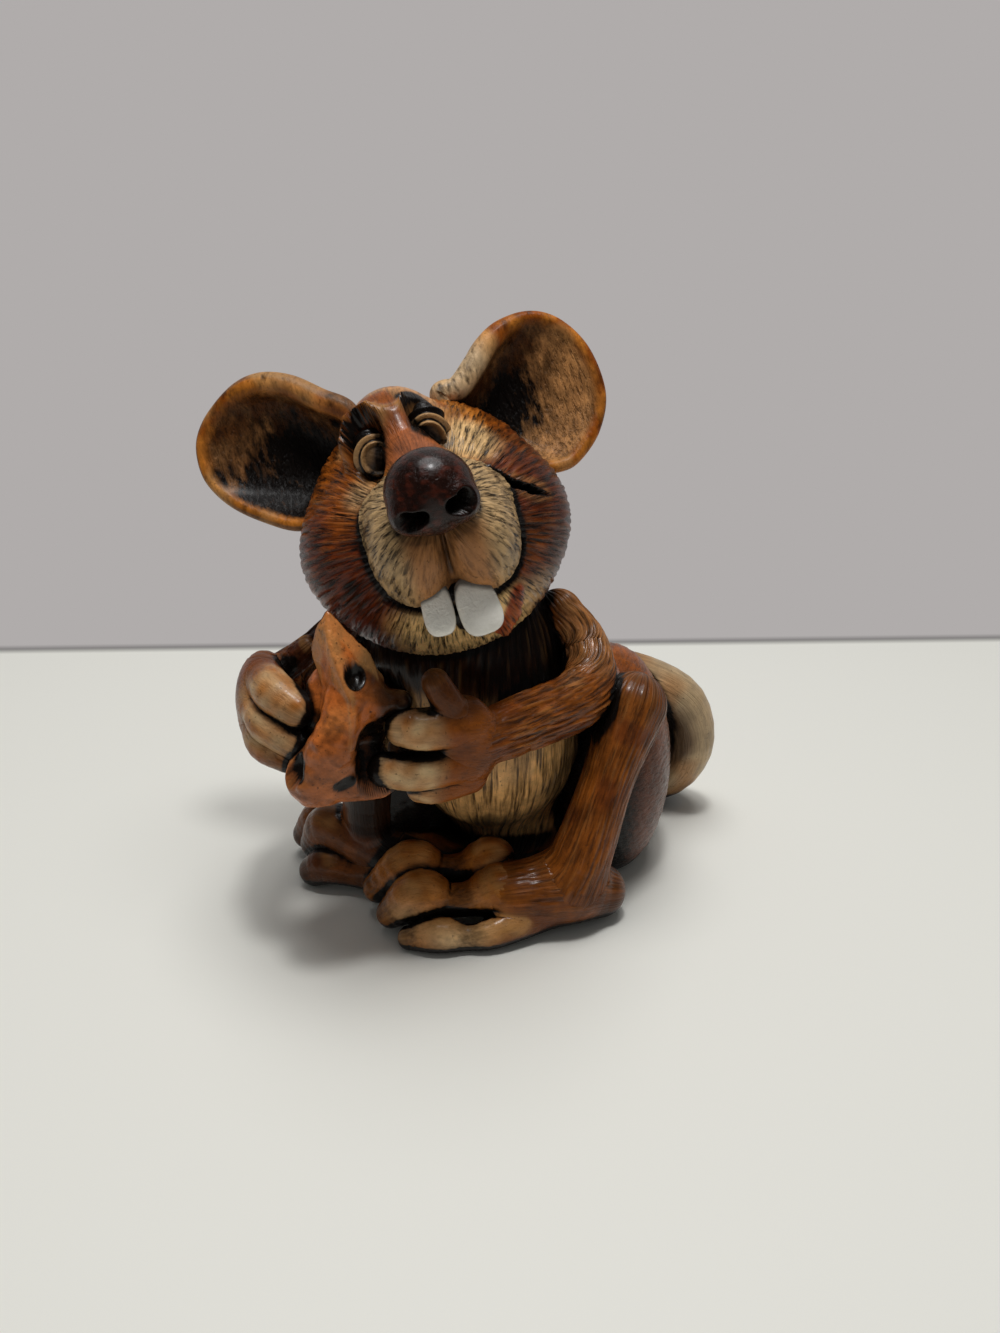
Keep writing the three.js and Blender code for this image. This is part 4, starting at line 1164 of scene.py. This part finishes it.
# %% Ears
def ear(name, shape, lit):
    """The dish set on the head, with painted shade dark in the bowl and painted light pale towards one side
    of it.
    """
    dish, share = ear_dish(shape["outline"], np.array(shape["deepest"]))
    rows = len(share)
    points = from_head(dish)
    inside = np.zeros(points.shape[:2])
    inside[:rows] = 1 - ease(share[..., 0], 0.9, 1.02)
    x, y, z = np.moveaxis(dish, -1, 0)
    comb = np.stack([x, y, 0.3 * z], -1)
    blot = ripple(dish, 7, 21) + 0.6 * ripple(comb, 2.6, 22)
    paint = blend(plain(points, GOLD), AMBER, ease(blot + 0.4 * ripple(dish, 16, 23), 0.0, 1.3))
    paint = blend(paint, UMBER, 0.9 * inside)
    # Painted light: the inside turns tan and loses wash towards its lit side.
    pale = np.clip(lit(x, z) + 0.25 * blot, 0, 1)
    paint = blend(paint, TAN, inside * pale)
    stem = ease(np.cos(2 * np.pi * (np.arange(points.shape[1]) / points.shape[1] - 0.07)), 0.5, 0.95)
    stem = stem * (1 - inside) * shape["pale_stem"]
    paint = blend(paint, BONE, 0.8 * stem)
    # Painted shade: dark deep in the bowl, and in the lower part of the bowl of the rat's right ear.
    bowl = np.zeros(points.shape[:2])
    bowl[:rows] = 1 - ease(share[..., 0] + 0.10 * blot[:rows], 0.15, 1.0)
    wash_and_shade = np.clip(inside * (0.15 + 0.3 * blot + 0.6 * bowl) * (1 - 0.75 * pale) + 0.6 * bowl**2, 0, 1)
    wash_and_shade = np.maximum(wash_and_shade, shape["low_bowl_shade"] * inside * (1 - ease(z + 3 * blot, 14, 26)))
    backs = np.zeros(points.shape[:2])
    backs[rows + 4 :] = 1
    paint = blend(paint, EAR_BACK, 0.75 * backs * (1 - shape["pale_stem"]))
    wash_and_shade = np.maximum(wash_and_shade, 0.5 * stem * ease(ripple(comb, 2.2, 27) + ripple(comb, 1.0, 28), 0.2, 1.4))
    brush_and_highlight = (1 - inside) * 0.4 * ease(ripple(dish, 9, 24), 0.2, 1.2)
    darkening = ease(ripple(dish, 5, 25) + 0.5 * ripple(dish, 2, 26), 0.6, 1.6)
    wash_and_shade = np.maximum(wash_and_shade, 0.35 * (1 - inside) * darkening)
    kept = {"paint": paint, "comb": comb, "wash_and_shade": wash_and_shade, "brush_and_highlight": brush_and_highlight, "hair": 0.6 * inside}
    cast(name, points, kept, EAR_PAINT)


ear("ear_right", EAR_RIGHT, lambda x, z: 0.12 + 0 * x)
ear("ear_left", EAR_LEFT, lambda x, z: 0.15 + 0.85 * ease(x - 0.9 * z, 0, 14))

# %% [markdown]
# ## Trunk and haunches
#
# The belly is combed downwards and painted paler than the back. Each haunch is an egg, combed back and down.
# One melted form for all three would lose the crease between them. They only touch, so the crease is there,
# and the wash and painted shade fill it by themselves. The chest under the chin and the lap are painted black
# as shade.

# %% Body
aim = globe(210, 300, (0, 0, 1), (0, 1, 0))
trunk = skin(np.array([-3.0, 3.0, 32.0]), aim, body_form, 60)
normal = outward(trunk, aim)
x, y, z = np.moveaxis(trunk, -1, 0)
comb = comb_round(np.arctan2(y - 3, x + 3), 19, z, press=14)
hair = stroke(comb, 41) * ease(z, 1, 5)
patch = ripple(trunk, 16, 42)
paint = blend(plain(trunk, AMBER), UMBER, ease(patch + 0.04 * (z - 30), -0.2, 1.2))
belly = ease(-y + 2 * patch, 6, 13) * ease(z, 5, 9) * (1 - ease(z, 42, 48))
paint = blend(paint, BELLY, 0.9 * belly)
# Painted shade: black on the chest under the chin.
paint = blend(paint, THROAT_SHADE, 0.95 * ease(z, 43, 50) * ease(-y, 2, 8))
points = trunk + normal * (0.18 * hair)[..., None]
wash_and_shade, brush_and_highlight = weather(points, normal, hair)
# Painted shade: black low on the front, in the lap above the feet.
wash_and_shade = np.maximum(wash_and_shade * (1 - 0.5 * belly), ease(-y, 4, 10) * (1 - ease(z, 8, 11)))
kept = {"paint": paint, "comb": comb, "wash_and_shade": wash_and_shade, "brush_and_highlight": brush_and_highlight, "hair": 0.9 * ease(z, 1, 5)}
cast("body", points, kept, FUR_PAINT)


# %% Haunches
def haunch(name, side, seed):
    """The egg of one haunch, with the hair combed back and down, and painted shade on its front towards the
    lap.
    """
    aim = globe(140, 210, (side, 0, 0), (0, 0, 1))
    egg = skin(hip(side), aim, lambda at: thigh_form(at, side), 40)
    normal = outward(egg, aim)
    x, y, z = np.moveaxis(egg, -1, 0)
    along = 0.7 * (y - z)
    comb = np.stack([0.8 * (y + z) + 0.015 * along**2, 0.9 * x, along / 7], -1)
    hair = stroke(comb, seed) * ease(z, 1, 5)
    patch = ripple(egg, 15, seed + 2)
    paint = blend(plain(egg, PLUM), AMBER, ease(z + 5 * patch, 26, 44))
    paint = blend(paint, UMBER, 0.5 * ease(-z + 4 * patch, -10, 0))
    points = egg + normal * (0.08 * hair)[..., None]
    wash_and_shade, brush_and_highlight = weather(points, normal, 0.4 * hair)
    # Painted shade: black on the front of the haunch, low and towards the middle, in the lap.
    wash_and_shade = np.maximum(wash_and_shade, ease(-y, 5, 10) * (1 - ease(np.abs(x), 22, 30)) * (1 - ease(z, 32, 40)))
    kept = {"paint": paint, "comb": comb, "wash_and_shade": wash_and_shade, "brush_and_highlight": brush_and_highlight, "hair": 0.4 * ease(z, 1, 5)}
    cast(name, points, kept, FUR_PAINT)


haunch("thigh_left", 1, 51)
haunch("thigh_right", -1, 55)

# %% [markdown]
# ## Limbs
#
# All lumps of a hand or a foot share one melted form, so a finger's skin flows into the palm. A curve with a
# bevel would make each tube at once, but it can't swell into its neighbour. Here each piece is drawn from its
# own path and dips under its neighbour where they meet.


# %% The limb maker
def limb_piece(
    name, shape, form, look, finish, slot,
    rows=64, cols=52, relief=0.2, upright=(0, 0, 1), seed=61, width=1, press=9,
):
    """A sleeve of rays along one path, with the hair combed along it. The look gives the colour and how much
    of the hair is carved, from the points. On bare parts the swellings get a painted highlight on top, and
    the sags painted shade."""
    path, radii = shape
    caps = 12
    start, aim = sleeve(path, rows, cols, upright, caps)
    thick = np.pad(curve(np.array(radii, float), rows), caps, mode="edge")[:, None]
    skin_points = skin(start, aim, dipped(form, lambda at: limb(at, shape), width), 1.5 * thick)
    normal = outward(skin_points, aim)
    line = np.pad(curve(path, rows), ((caps, caps), (0, 0)), mode="edge")
    run = np.concatenate([[0], np.cumsum(np.linalg.norm(np.diff(line, axis=0), axis=1))])[:, None]
    turn = 2 * np.pi * np.arange(cols) / cols + 0 * run
    comb = comb_round(turn, thick.mean(), run, press) + seed
    paint, furry = look(skin_points)
    hair = stroke(comb, seed, 0.8) * furry
    points = skin_points + normal * (relief * hair)[..., None]
    wash_and_shade, brush_and_highlight = weather(points, normal, 0.8 * hair, brush_and_highlight=0.5)
    # Painted highlight on the upper side of the swellings of toes and fingers, and painted shade in the sags.
    bulge = thick / thick.mean() - 1
    above = ease(normal[..., 2], 0.1, 0.9) * (0.6 + 0.4 * ripple(skin_points, 4, seed + 40))
    brush_and_highlight = np.clip(brush_and_highlight + 0.5 * ease(bulge, 0, 0.2) * above * (1 - furry), 0, 1)
    wash_and_shade = np.clip(wash_and_shade + 0.4 * ease(-bulge, 0, 0.2) * (1 - furry), 0, 1)
    kept = {"paint": paint, "comb": comb, "wash_and_shade": wash_and_shade, "brush_and_highlight": brush_and_highlight, "hair": 0.1 + 0.7 * furry}
    cast(name, points, kept, finish)


def palm_piece(name, palm, form, look, seed):
    """The palm: rays over a ball, in the shared form of its hand."""
    centre, radii = palm
    aim = globe(80, 100, (0, 0, 1), (1, 0, 0))
    far = 1.35 / np.linalg.norm(aim / np.array(radii), axis=-1)
    skin_points = skin(np.array(centre, float), aim, dipped(form, lambda at: ball(at, centre, radii)), far)
    normal = outward(skin_points, aim)
    paint, furry = look(skin_points)
    x, y, z = np.moveaxis(skin_points, -1, 0)
    comb = np.stack([y + z, z, x / 7], -1)
    hair = stroke(comb, seed) * furry
    points = skin_points + normal * (0.15 * hair)[..., None]
    wash_and_shade, brush_and_highlight = weather(points, normal, 0.8 * hair)
    kept = {"paint": paint, "comb": comb, "wash_and_shade": wash_and_shade, "brush_and_highlight": brush_and_highlight, "hair": 0.15 + 0.5 * furry}
    cast(name, points, kept, FUR_PAINT)


# %% [markdown]
# ## Arms and hands
#
# The arms are amber and furry. Towards the fingertips the stain gives way to cream, with wash in the joints.
# Two materials with a mask between them could do that. A look that gives the colour of every point does it
# with one, and the paint runs on from the arm to the palm and the fingers without a seam.


# %% Arms, palms, fingers and thumbs
def left_look(points):
    """Amber fur, worn to cream from the knuckles to the fingertips, with a painted highlight on top of the
    shoulder.
    """
    x, _, z = np.moveaxis(points, -1, 0)
    patch = ripple(points, 10, 71)
    tips = ease(-x + 1.2 * patch, 9, 14) * (1 - ease(z, 51, 54))
    paint = blend(plain(points, blend(AMBER, GOLD, 0.15)), RUST, 0.5 * ease(patch, -0.4, 1.2))
    paint = blend(paint, UMBER, 0.2 + 0.5 * ease(z, 50, 53) * ease(-x, 2, 6))
    # Painted highlight: tan on top of the shoulder's outer side.
    paint = blend(paint, TAN, 0.5 * ease(z + 2 * patch, 47, 54) * ease(x, 8, 13))
    paint = blend(paint, blend(plain(points, CREAM), TAN, 0.5 + 0.4 * ripple(points, 4, 74)), 0.9 * tips)
    return paint, ease(x, -8, 4)


def right_look(points):
    """Brown fur, painted black as shade on the side turned to the chest, and worn to cream on the backs of
    the fingers.
    """
    x, y, z = np.moveaxis(points, -1, 0)
    patch = ripple(points, 10, 72)
    tips = ease(-y + 1.5 * patch, 26, 32) * (0.3 + 0.7 * ease(z, 41, 45))
    paint = blend(plain(points, blend(AMBER, UMBER, 0.5)), RUST, 0.7 * ease(patch, -0.5, 1.0))
    # Painted shade: black on the side of the hand turned to the chest.
    paint = blend(paint, BLACK_WASH_AND_SHADE, 0.55 * ease(x, -44, -39) * ease(y, -30, -24))
    paint = blend(paint, blend(plain(points, CREAM), TAN, 0.7 + 0.4 * ripple(points, 4, 75)), 0.85 * tips)
    return paint, ease(y, -26, -18)


arm_grids = {"left": (240, 140, 0.28, (0, 0.3, 1), 61), "right": (200, 130, 0.28, (0, 1, 0.2), 63)}
limb_piece("arm_left", ARM_LEFT, arm_left_form, left_look, FUR_PAINT, "fur", *arm_grids["left"])
limb_piece("arm_right", ARM_RIGHT, arm_right_form, right_look, FUR_PAINT, "fur", *arm_grids["right"])
palm_piece("hand_left", PALM_LEFT, arm_left_form, left_look, 65)
palm_piece("hand_right", PALM_RIGHT, arm_right_form, right_look, 66)
for number, (name, shape) in enumerate(DIGITS_LEFT.items()):
    limb_piece(name, shape, arm_left_form, left_look, CREAM_PAINT, "cream", seed=73 + number, press=2)
for number, (name, shape) in enumerate(DIGITS_RIGHT.items()):
    limb_piece(name, shape, arm_right_form, right_look, CREAM_PAINT, "cream", seed=83 + number, press=2)


# %% [markdown]
# ## Legs and feet
#
# The shin is combed from the knee to the ankle and smooth below. The toes overlap like roof tiles, and the
# nearest one is rubbed palest. One foot could be mirrored for the other, but the two stand in different ways,
# so each has its own path, and both go through the same limb maker.


# %% Shins, feet and toes
def leg_look(points):
    """Amber shin, browner foot, pale at the front toe."""
    x, y, z = np.moveaxis(points, -1, 0)
    patch = ripple(points, 11, 91)
    paint = blend(plain(points, blend(AMBER, GOLD, 0.2)), RUST, 0.45 * ease(patch, 0, 1.2))
    paint = blend(paint, UMBER, 0.3 + 0.25 * ease(-z + 3 * patch, -12, -4) + 0.15 * ease(z, 28, 38))
    paint = blend(paint, GOLD, 0.7 * ease(-x, -2, 4) * ease(-y, 20, 26))
    front = ease(-y, 31, 36) * ease(-x, -2, 6)
    paint = blend(paint, blend(plain(points, GOLD), CREAM, 0.5 + 0.4 * patch), 0.8 * front)
    return paint, 0.8 * ease(z, 4, 10) * ease(x, -2, 4)


def shaded_look(points):
    """The right leg: browner all over as painted shade, and painted black on its front above the foot, where
    the cheese keeps the light off.
    """
    paint, furry = leg_look(points)
    x, y, z = np.moveaxis(points, -1, 0)
    # Painted shade: the whole right leg is browner, and black behind the cheese.
    paint = blend(paint, UMBER, 0.45 + 0 * x)
    return blend(paint, BLACK_WASH_AND_SHADE, 0.9 * ease(-y, 15, 18.5) * ease(z - 0.25 * (y + 12), 14.5, 17)), furry


for side, shin, foot, form, look, seed in (
    ("left", SHIN_LEFT, FOOT_LEFT, leg_left_form, leg_look, 93),
    ("right", SHIN_RIGHT, FOOT_RIGHT, leg_right_form, shaded_look, 95),
):
    limb_piece(f"shin_{side}", shin, form, look, FUR_PAINT, "fur", 180, 140, 0.14, (0, -1, 0.2), seed, 3)
    limb_piece(f"foot_{side}", foot, form, look, FUR_PAINT, "fur", 120, 110, 0.2, (0, 0, 1), seed + 1, 3)
for number, (name, shape) in enumerate(TOES_LEFT.items()):
    limb_piece(name, shape, leg_left_form, leg_look, FUR_PAINT, "fur", 90, 60, seed=97 + number, press=2)
for number, (name, shape) in enumerate(TOES_RIGHT.items()):
    limb_piece(name, shape, leg_right_form, shaded_look, FUR_PAINT, "fur", 90, 60, seed=103 + number, press=2)

# %% [markdown]
# ## Tail and cheese
#
# The tail is bare skin: smooth, bone coloured and speckled. It could be a bevelled curve, but the limb maker
# also cuts it flat where it lies on the table. The cheese is smooth too, stained orange brown, with painted
# shade towards the fingers, under the chin and in its holes. Its rays all leave one point, which every part
# of the wedge can be seen from.


# %% Tail
def tail_look(points):
    """Bone, browner below and inside the curl, with hardly any hair."""
    x, _, z = np.moveaxis(points, -1, 0)
    patch = ripple(points, 12, 111)
    paint = blend(plain(points, blend(BONE, UMBER, 0.15)), TAN, 0.15 + 0.6 * ease(patch, 0, 1.2))
    ring = np.hypot(x - 28, z - 20)
    paint = blend(paint, UMBER, 0.8 * (1 - ease(ring + 1.2 * patch, 11.5, 15)))
    paint = blend(paint, UMBER, 0.6 * ease(-z + 3 * patch, -12, 2))
    return paint, 0.12 + 0 * x


limb_piece("tail", TAIL, tail_form, tail_look, CREAM_PAINT, "cream", 240, 90, 0.12, (0.2, 0.9, 0.3), 113)

# %% Cheese
aim = globe(180, 250, (0, -1, 0), (0, 0, 1))
wedge = skin(np.array([-27.0, -37.0, 50.0]), aim, cheese_form, 26)
normal = outward(wedge, aim)
patch = ripple(wedge, 9, 121)
x, y, z = np.moveaxis(wedge, -1, 0)
paint = blend(plain(wedge, CHEESE), CHEESE_PALE, ease(patch, -0.2, 1.2))
paint = blend(paint, CHEESE_FOOT, 0.6 * (1 - ease(z + 2 * patch, 44, 52)))
paint = blend(paint, UMBER, 0.45 * ease(ripple(wedge, 4, 123) + 0.6 * ripple(wedge, 1.8, 124), 0.1, 1.5))
# Painted shade: darker, then black, where the right face turns away towards the fingers.
paint = blend(paint, UMBER, 0.85 * ease(x + 2 * patch, -26, -20) * ease(z, 40, 46))
paint = blend(paint, BLACK_WASH_AND_SHADE, 0.6 * ease(x + 2 * patch, -23, -18) * ease(z, 42, 48))
# Painted shadow of the chin on the top right of the wedge.
chin_shadow = ease(x - 0.35 * (z - 60) + patch, -28, -24.5) * ease(z, 55, 60)
paint = blend(blend(paint, UMBER, 0.7 * chin_shadow), BLACK_WASH_AND_SHADE, 0.5 * chin_shadow)
points = wedge + normal * (0.10 * ripple(wedge, 3, 122))[..., None]
wash_and_shade, brush_and_highlight = weather(points, normal, 0.0, 0.75, 0.3)
# Painted shade: dark in the holes and the bite.
bitten = 1 - ease(cheese_marks(wedge), 0.2, 0.6)
wash_and_shade = np.maximum(wash_and_shade, bitten * np.where(x > -23, 0.6, 1.0))
kept = {"paint": paint, "comb": 0.6 * wedge, "wash_and_shade": wash_and_shade, "brush_and_highlight": brush_and_highlight, "hair": 0.25 * ease(patch, -0.5, 1)}
cast("cheese", points, kept, CHEESE_PAINT)

# %% [markdown]
# ## Table, light and camera
#
# A pale table runs back to a grey wall, with a thin line of painted shade between them. A real wall would
# stand in the way of a look from behind, so it is only painted on the far part of the table and in the sky,
# for rays that come straight from the camera or off a gloss. Off a gloss it is bright on its own side only,
# because the room in front is dim. A wide panel and a small bulb hang overhead, and the world fills in from
# all sides.

# %% Table and wall
TABLE = stain(238, 237, 229)
TABLE_ROUGHNESS = 0.55
WALL = stain(176, 172, 171)
WALL_START = 0.1137
WALL_EDGE = 0.002
WALL_SLANT = -0.03
GAP_LOW = 0.001
GAP_HIGH = 0.005
GAP_SHADE = 0.38


def seen(tree):
    """1 for rays that show a picture: from the camera, off a gloss or through glass. 0 for rays of light."""
    path = tree.nodes.new("ShaderNodeLightPath").outputs
    both = reckon(tree, "MAXIMUM", path["Is Camera Ray"], path["Is Glossy Ray"])
    return reckon(tree, "MAXIMUM", both, path["Is Transmission Ray"])


def show_mixed(tree, output, share, first, second):
    """Puts two shaders on the output, mixed by a share of the second."""
    both = tree.nodes.new("ShaderNodeMixShader")
    for slot, value in zip(both.inputs, (share, first, second)):
        wire(tree, slot, value)
    wire(tree, tree.nodes[output].inputs["Surface"], both.outputs[0])


def along_axes(tree, coordinates):
    """The X, Y and Z of one kind of texture coordinates."""
    place = tree.nodes.new("ShaderNodeTexCoord").outputs[coordinates]
    return node(tree, "ShaderNodeSeparateXYZ", Vector=place).outputs


table_mesh = bpy.data.meshes.new("table")
table_mesh.from_pydata([(-3, -3, 0), (3, -3, 0), (3, 3, 0), (-3, 3, 0)], [], [(0, 1, 2, 3)])
table = bpy.data.objects.new("table", table_mesh)
bpy.context.scene.collection.objects.link(table)
table_paint = bpy.data.materials.new("table_paint")
table_paint.use_nodes = True
tree = table_paint.node_tree
shader = tree.nodes["Principled BSDF"]
shader.inputs["Base Color"].default_value = (*TABLE, 1)
shader.inputs["Roughness"].default_value = TABLE_ROUGHNESS
spot = along_axes(tree, "Object")
slant = reckon(tree, "MULTIPLY_ADD", spot["X"], WALL_SLANT, spot["Y"])
beyond = spread(tree, slant, WALL_START - WALL_EDGE, WALL_START + WALL_EDGE)
share = reckon(tree, "MULTIPLY", beyond, seen(tree))
# Painted shade: a thin darker line where the wall meets the table.
gap = spread(tree, slant, WALL_START + GAP_LOW, WALL_START + GAP_HIGH, GAP_SHADE, 1.0)
glow = node(tree, "ShaderNodeEmission", Color=(*WALL, 1), Strength=gap)
show_mixed(tree, "Material Output", share, shader.outputs[0], glow.outputs[0])
table_mesh.materials.append(table_paint)
print("table", [round(s) for s in table.dimensions], "m")

# %% Light
ROOM = (0.16, 0.16, 0.16, 1)
WALL_SIDE = (0.2, 0.8)
WALL_FAINT = 0.12

scene = bpy.context.scene
scene.view_settings.view_transform = "Standard"
world = bpy.data.worlds.new("room")
world.use_nodes = True
scene.world = world
tree = world.node_tree
room = tree.nodes["Background"]
room.inputs["Color"].default_value = ROOM
wall_side = spread(tree, along_axes(tree, "Generated")["Y"], *WALL_SIDE, WALL_FAINT, 1.0)
straight = tree.nodes.new("ShaderNodeLightPath").outputs["Is Camera Ray"]
brightness = reckon(tree, "MAXIMUM", straight, wall_side)
far_wall = node(tree, "ShaderNodeBackground", Color=(*WALL, 1), Strength=brightness)
show_mixed(tree, "World Output", seen(tree), room.outputs[0], far_wall.outputs[0])

for title, size, watts, place, tip in (
    ("ceiling_panel", 0.5, 3.0, (0.0, 0.05, 0.75), -4),
    ("ceiling_bulb", 0.1, 1.3, (0.02, -0.1, 0.72), 8),
):
    lamp_data = bpy.data.lights.new(title, "AREA")
    lamp_data.shape = "DISK"
    lamp_data.size = size
    lamp_data.energy = watts
    lamp = bpy.data.objects.new(title, lamp_data)
    lamp.location = place
    lamp.rotation_euler = (np.radians(-tip), 0, 0)
    scene.collection.objects.link(lamp)
    print(title, watts, "W at", place[2], "m")

# %% Camera
SENSOR = 36
FOCAL_PIXELS = 1250
PHOTO_HEIGHT = 1333
CAMERA_PLACE = (-0.0011, -0.23498, 0.14833)
CAMERA_TILT = np.radians(66)

camera_data = bpy.data.cameras.new("camera")
camera_data.sensor_width = SENSOR
camera_data.lens = SENSOR * FOCAL_PIXELS / PHOTO_HEIGHT
camera = bpy.data.objects.new("camera", camera_data)
camera.location = CAMERA_PLACE
camera.rotation_euler = (CAMERA_TILT, 0, 0)
camera_data.clip_start = 0.01
scene.collection.objects.link(camera)
scene.camera = camera
print("lens", round(camera_data.lens, 2), "mm")
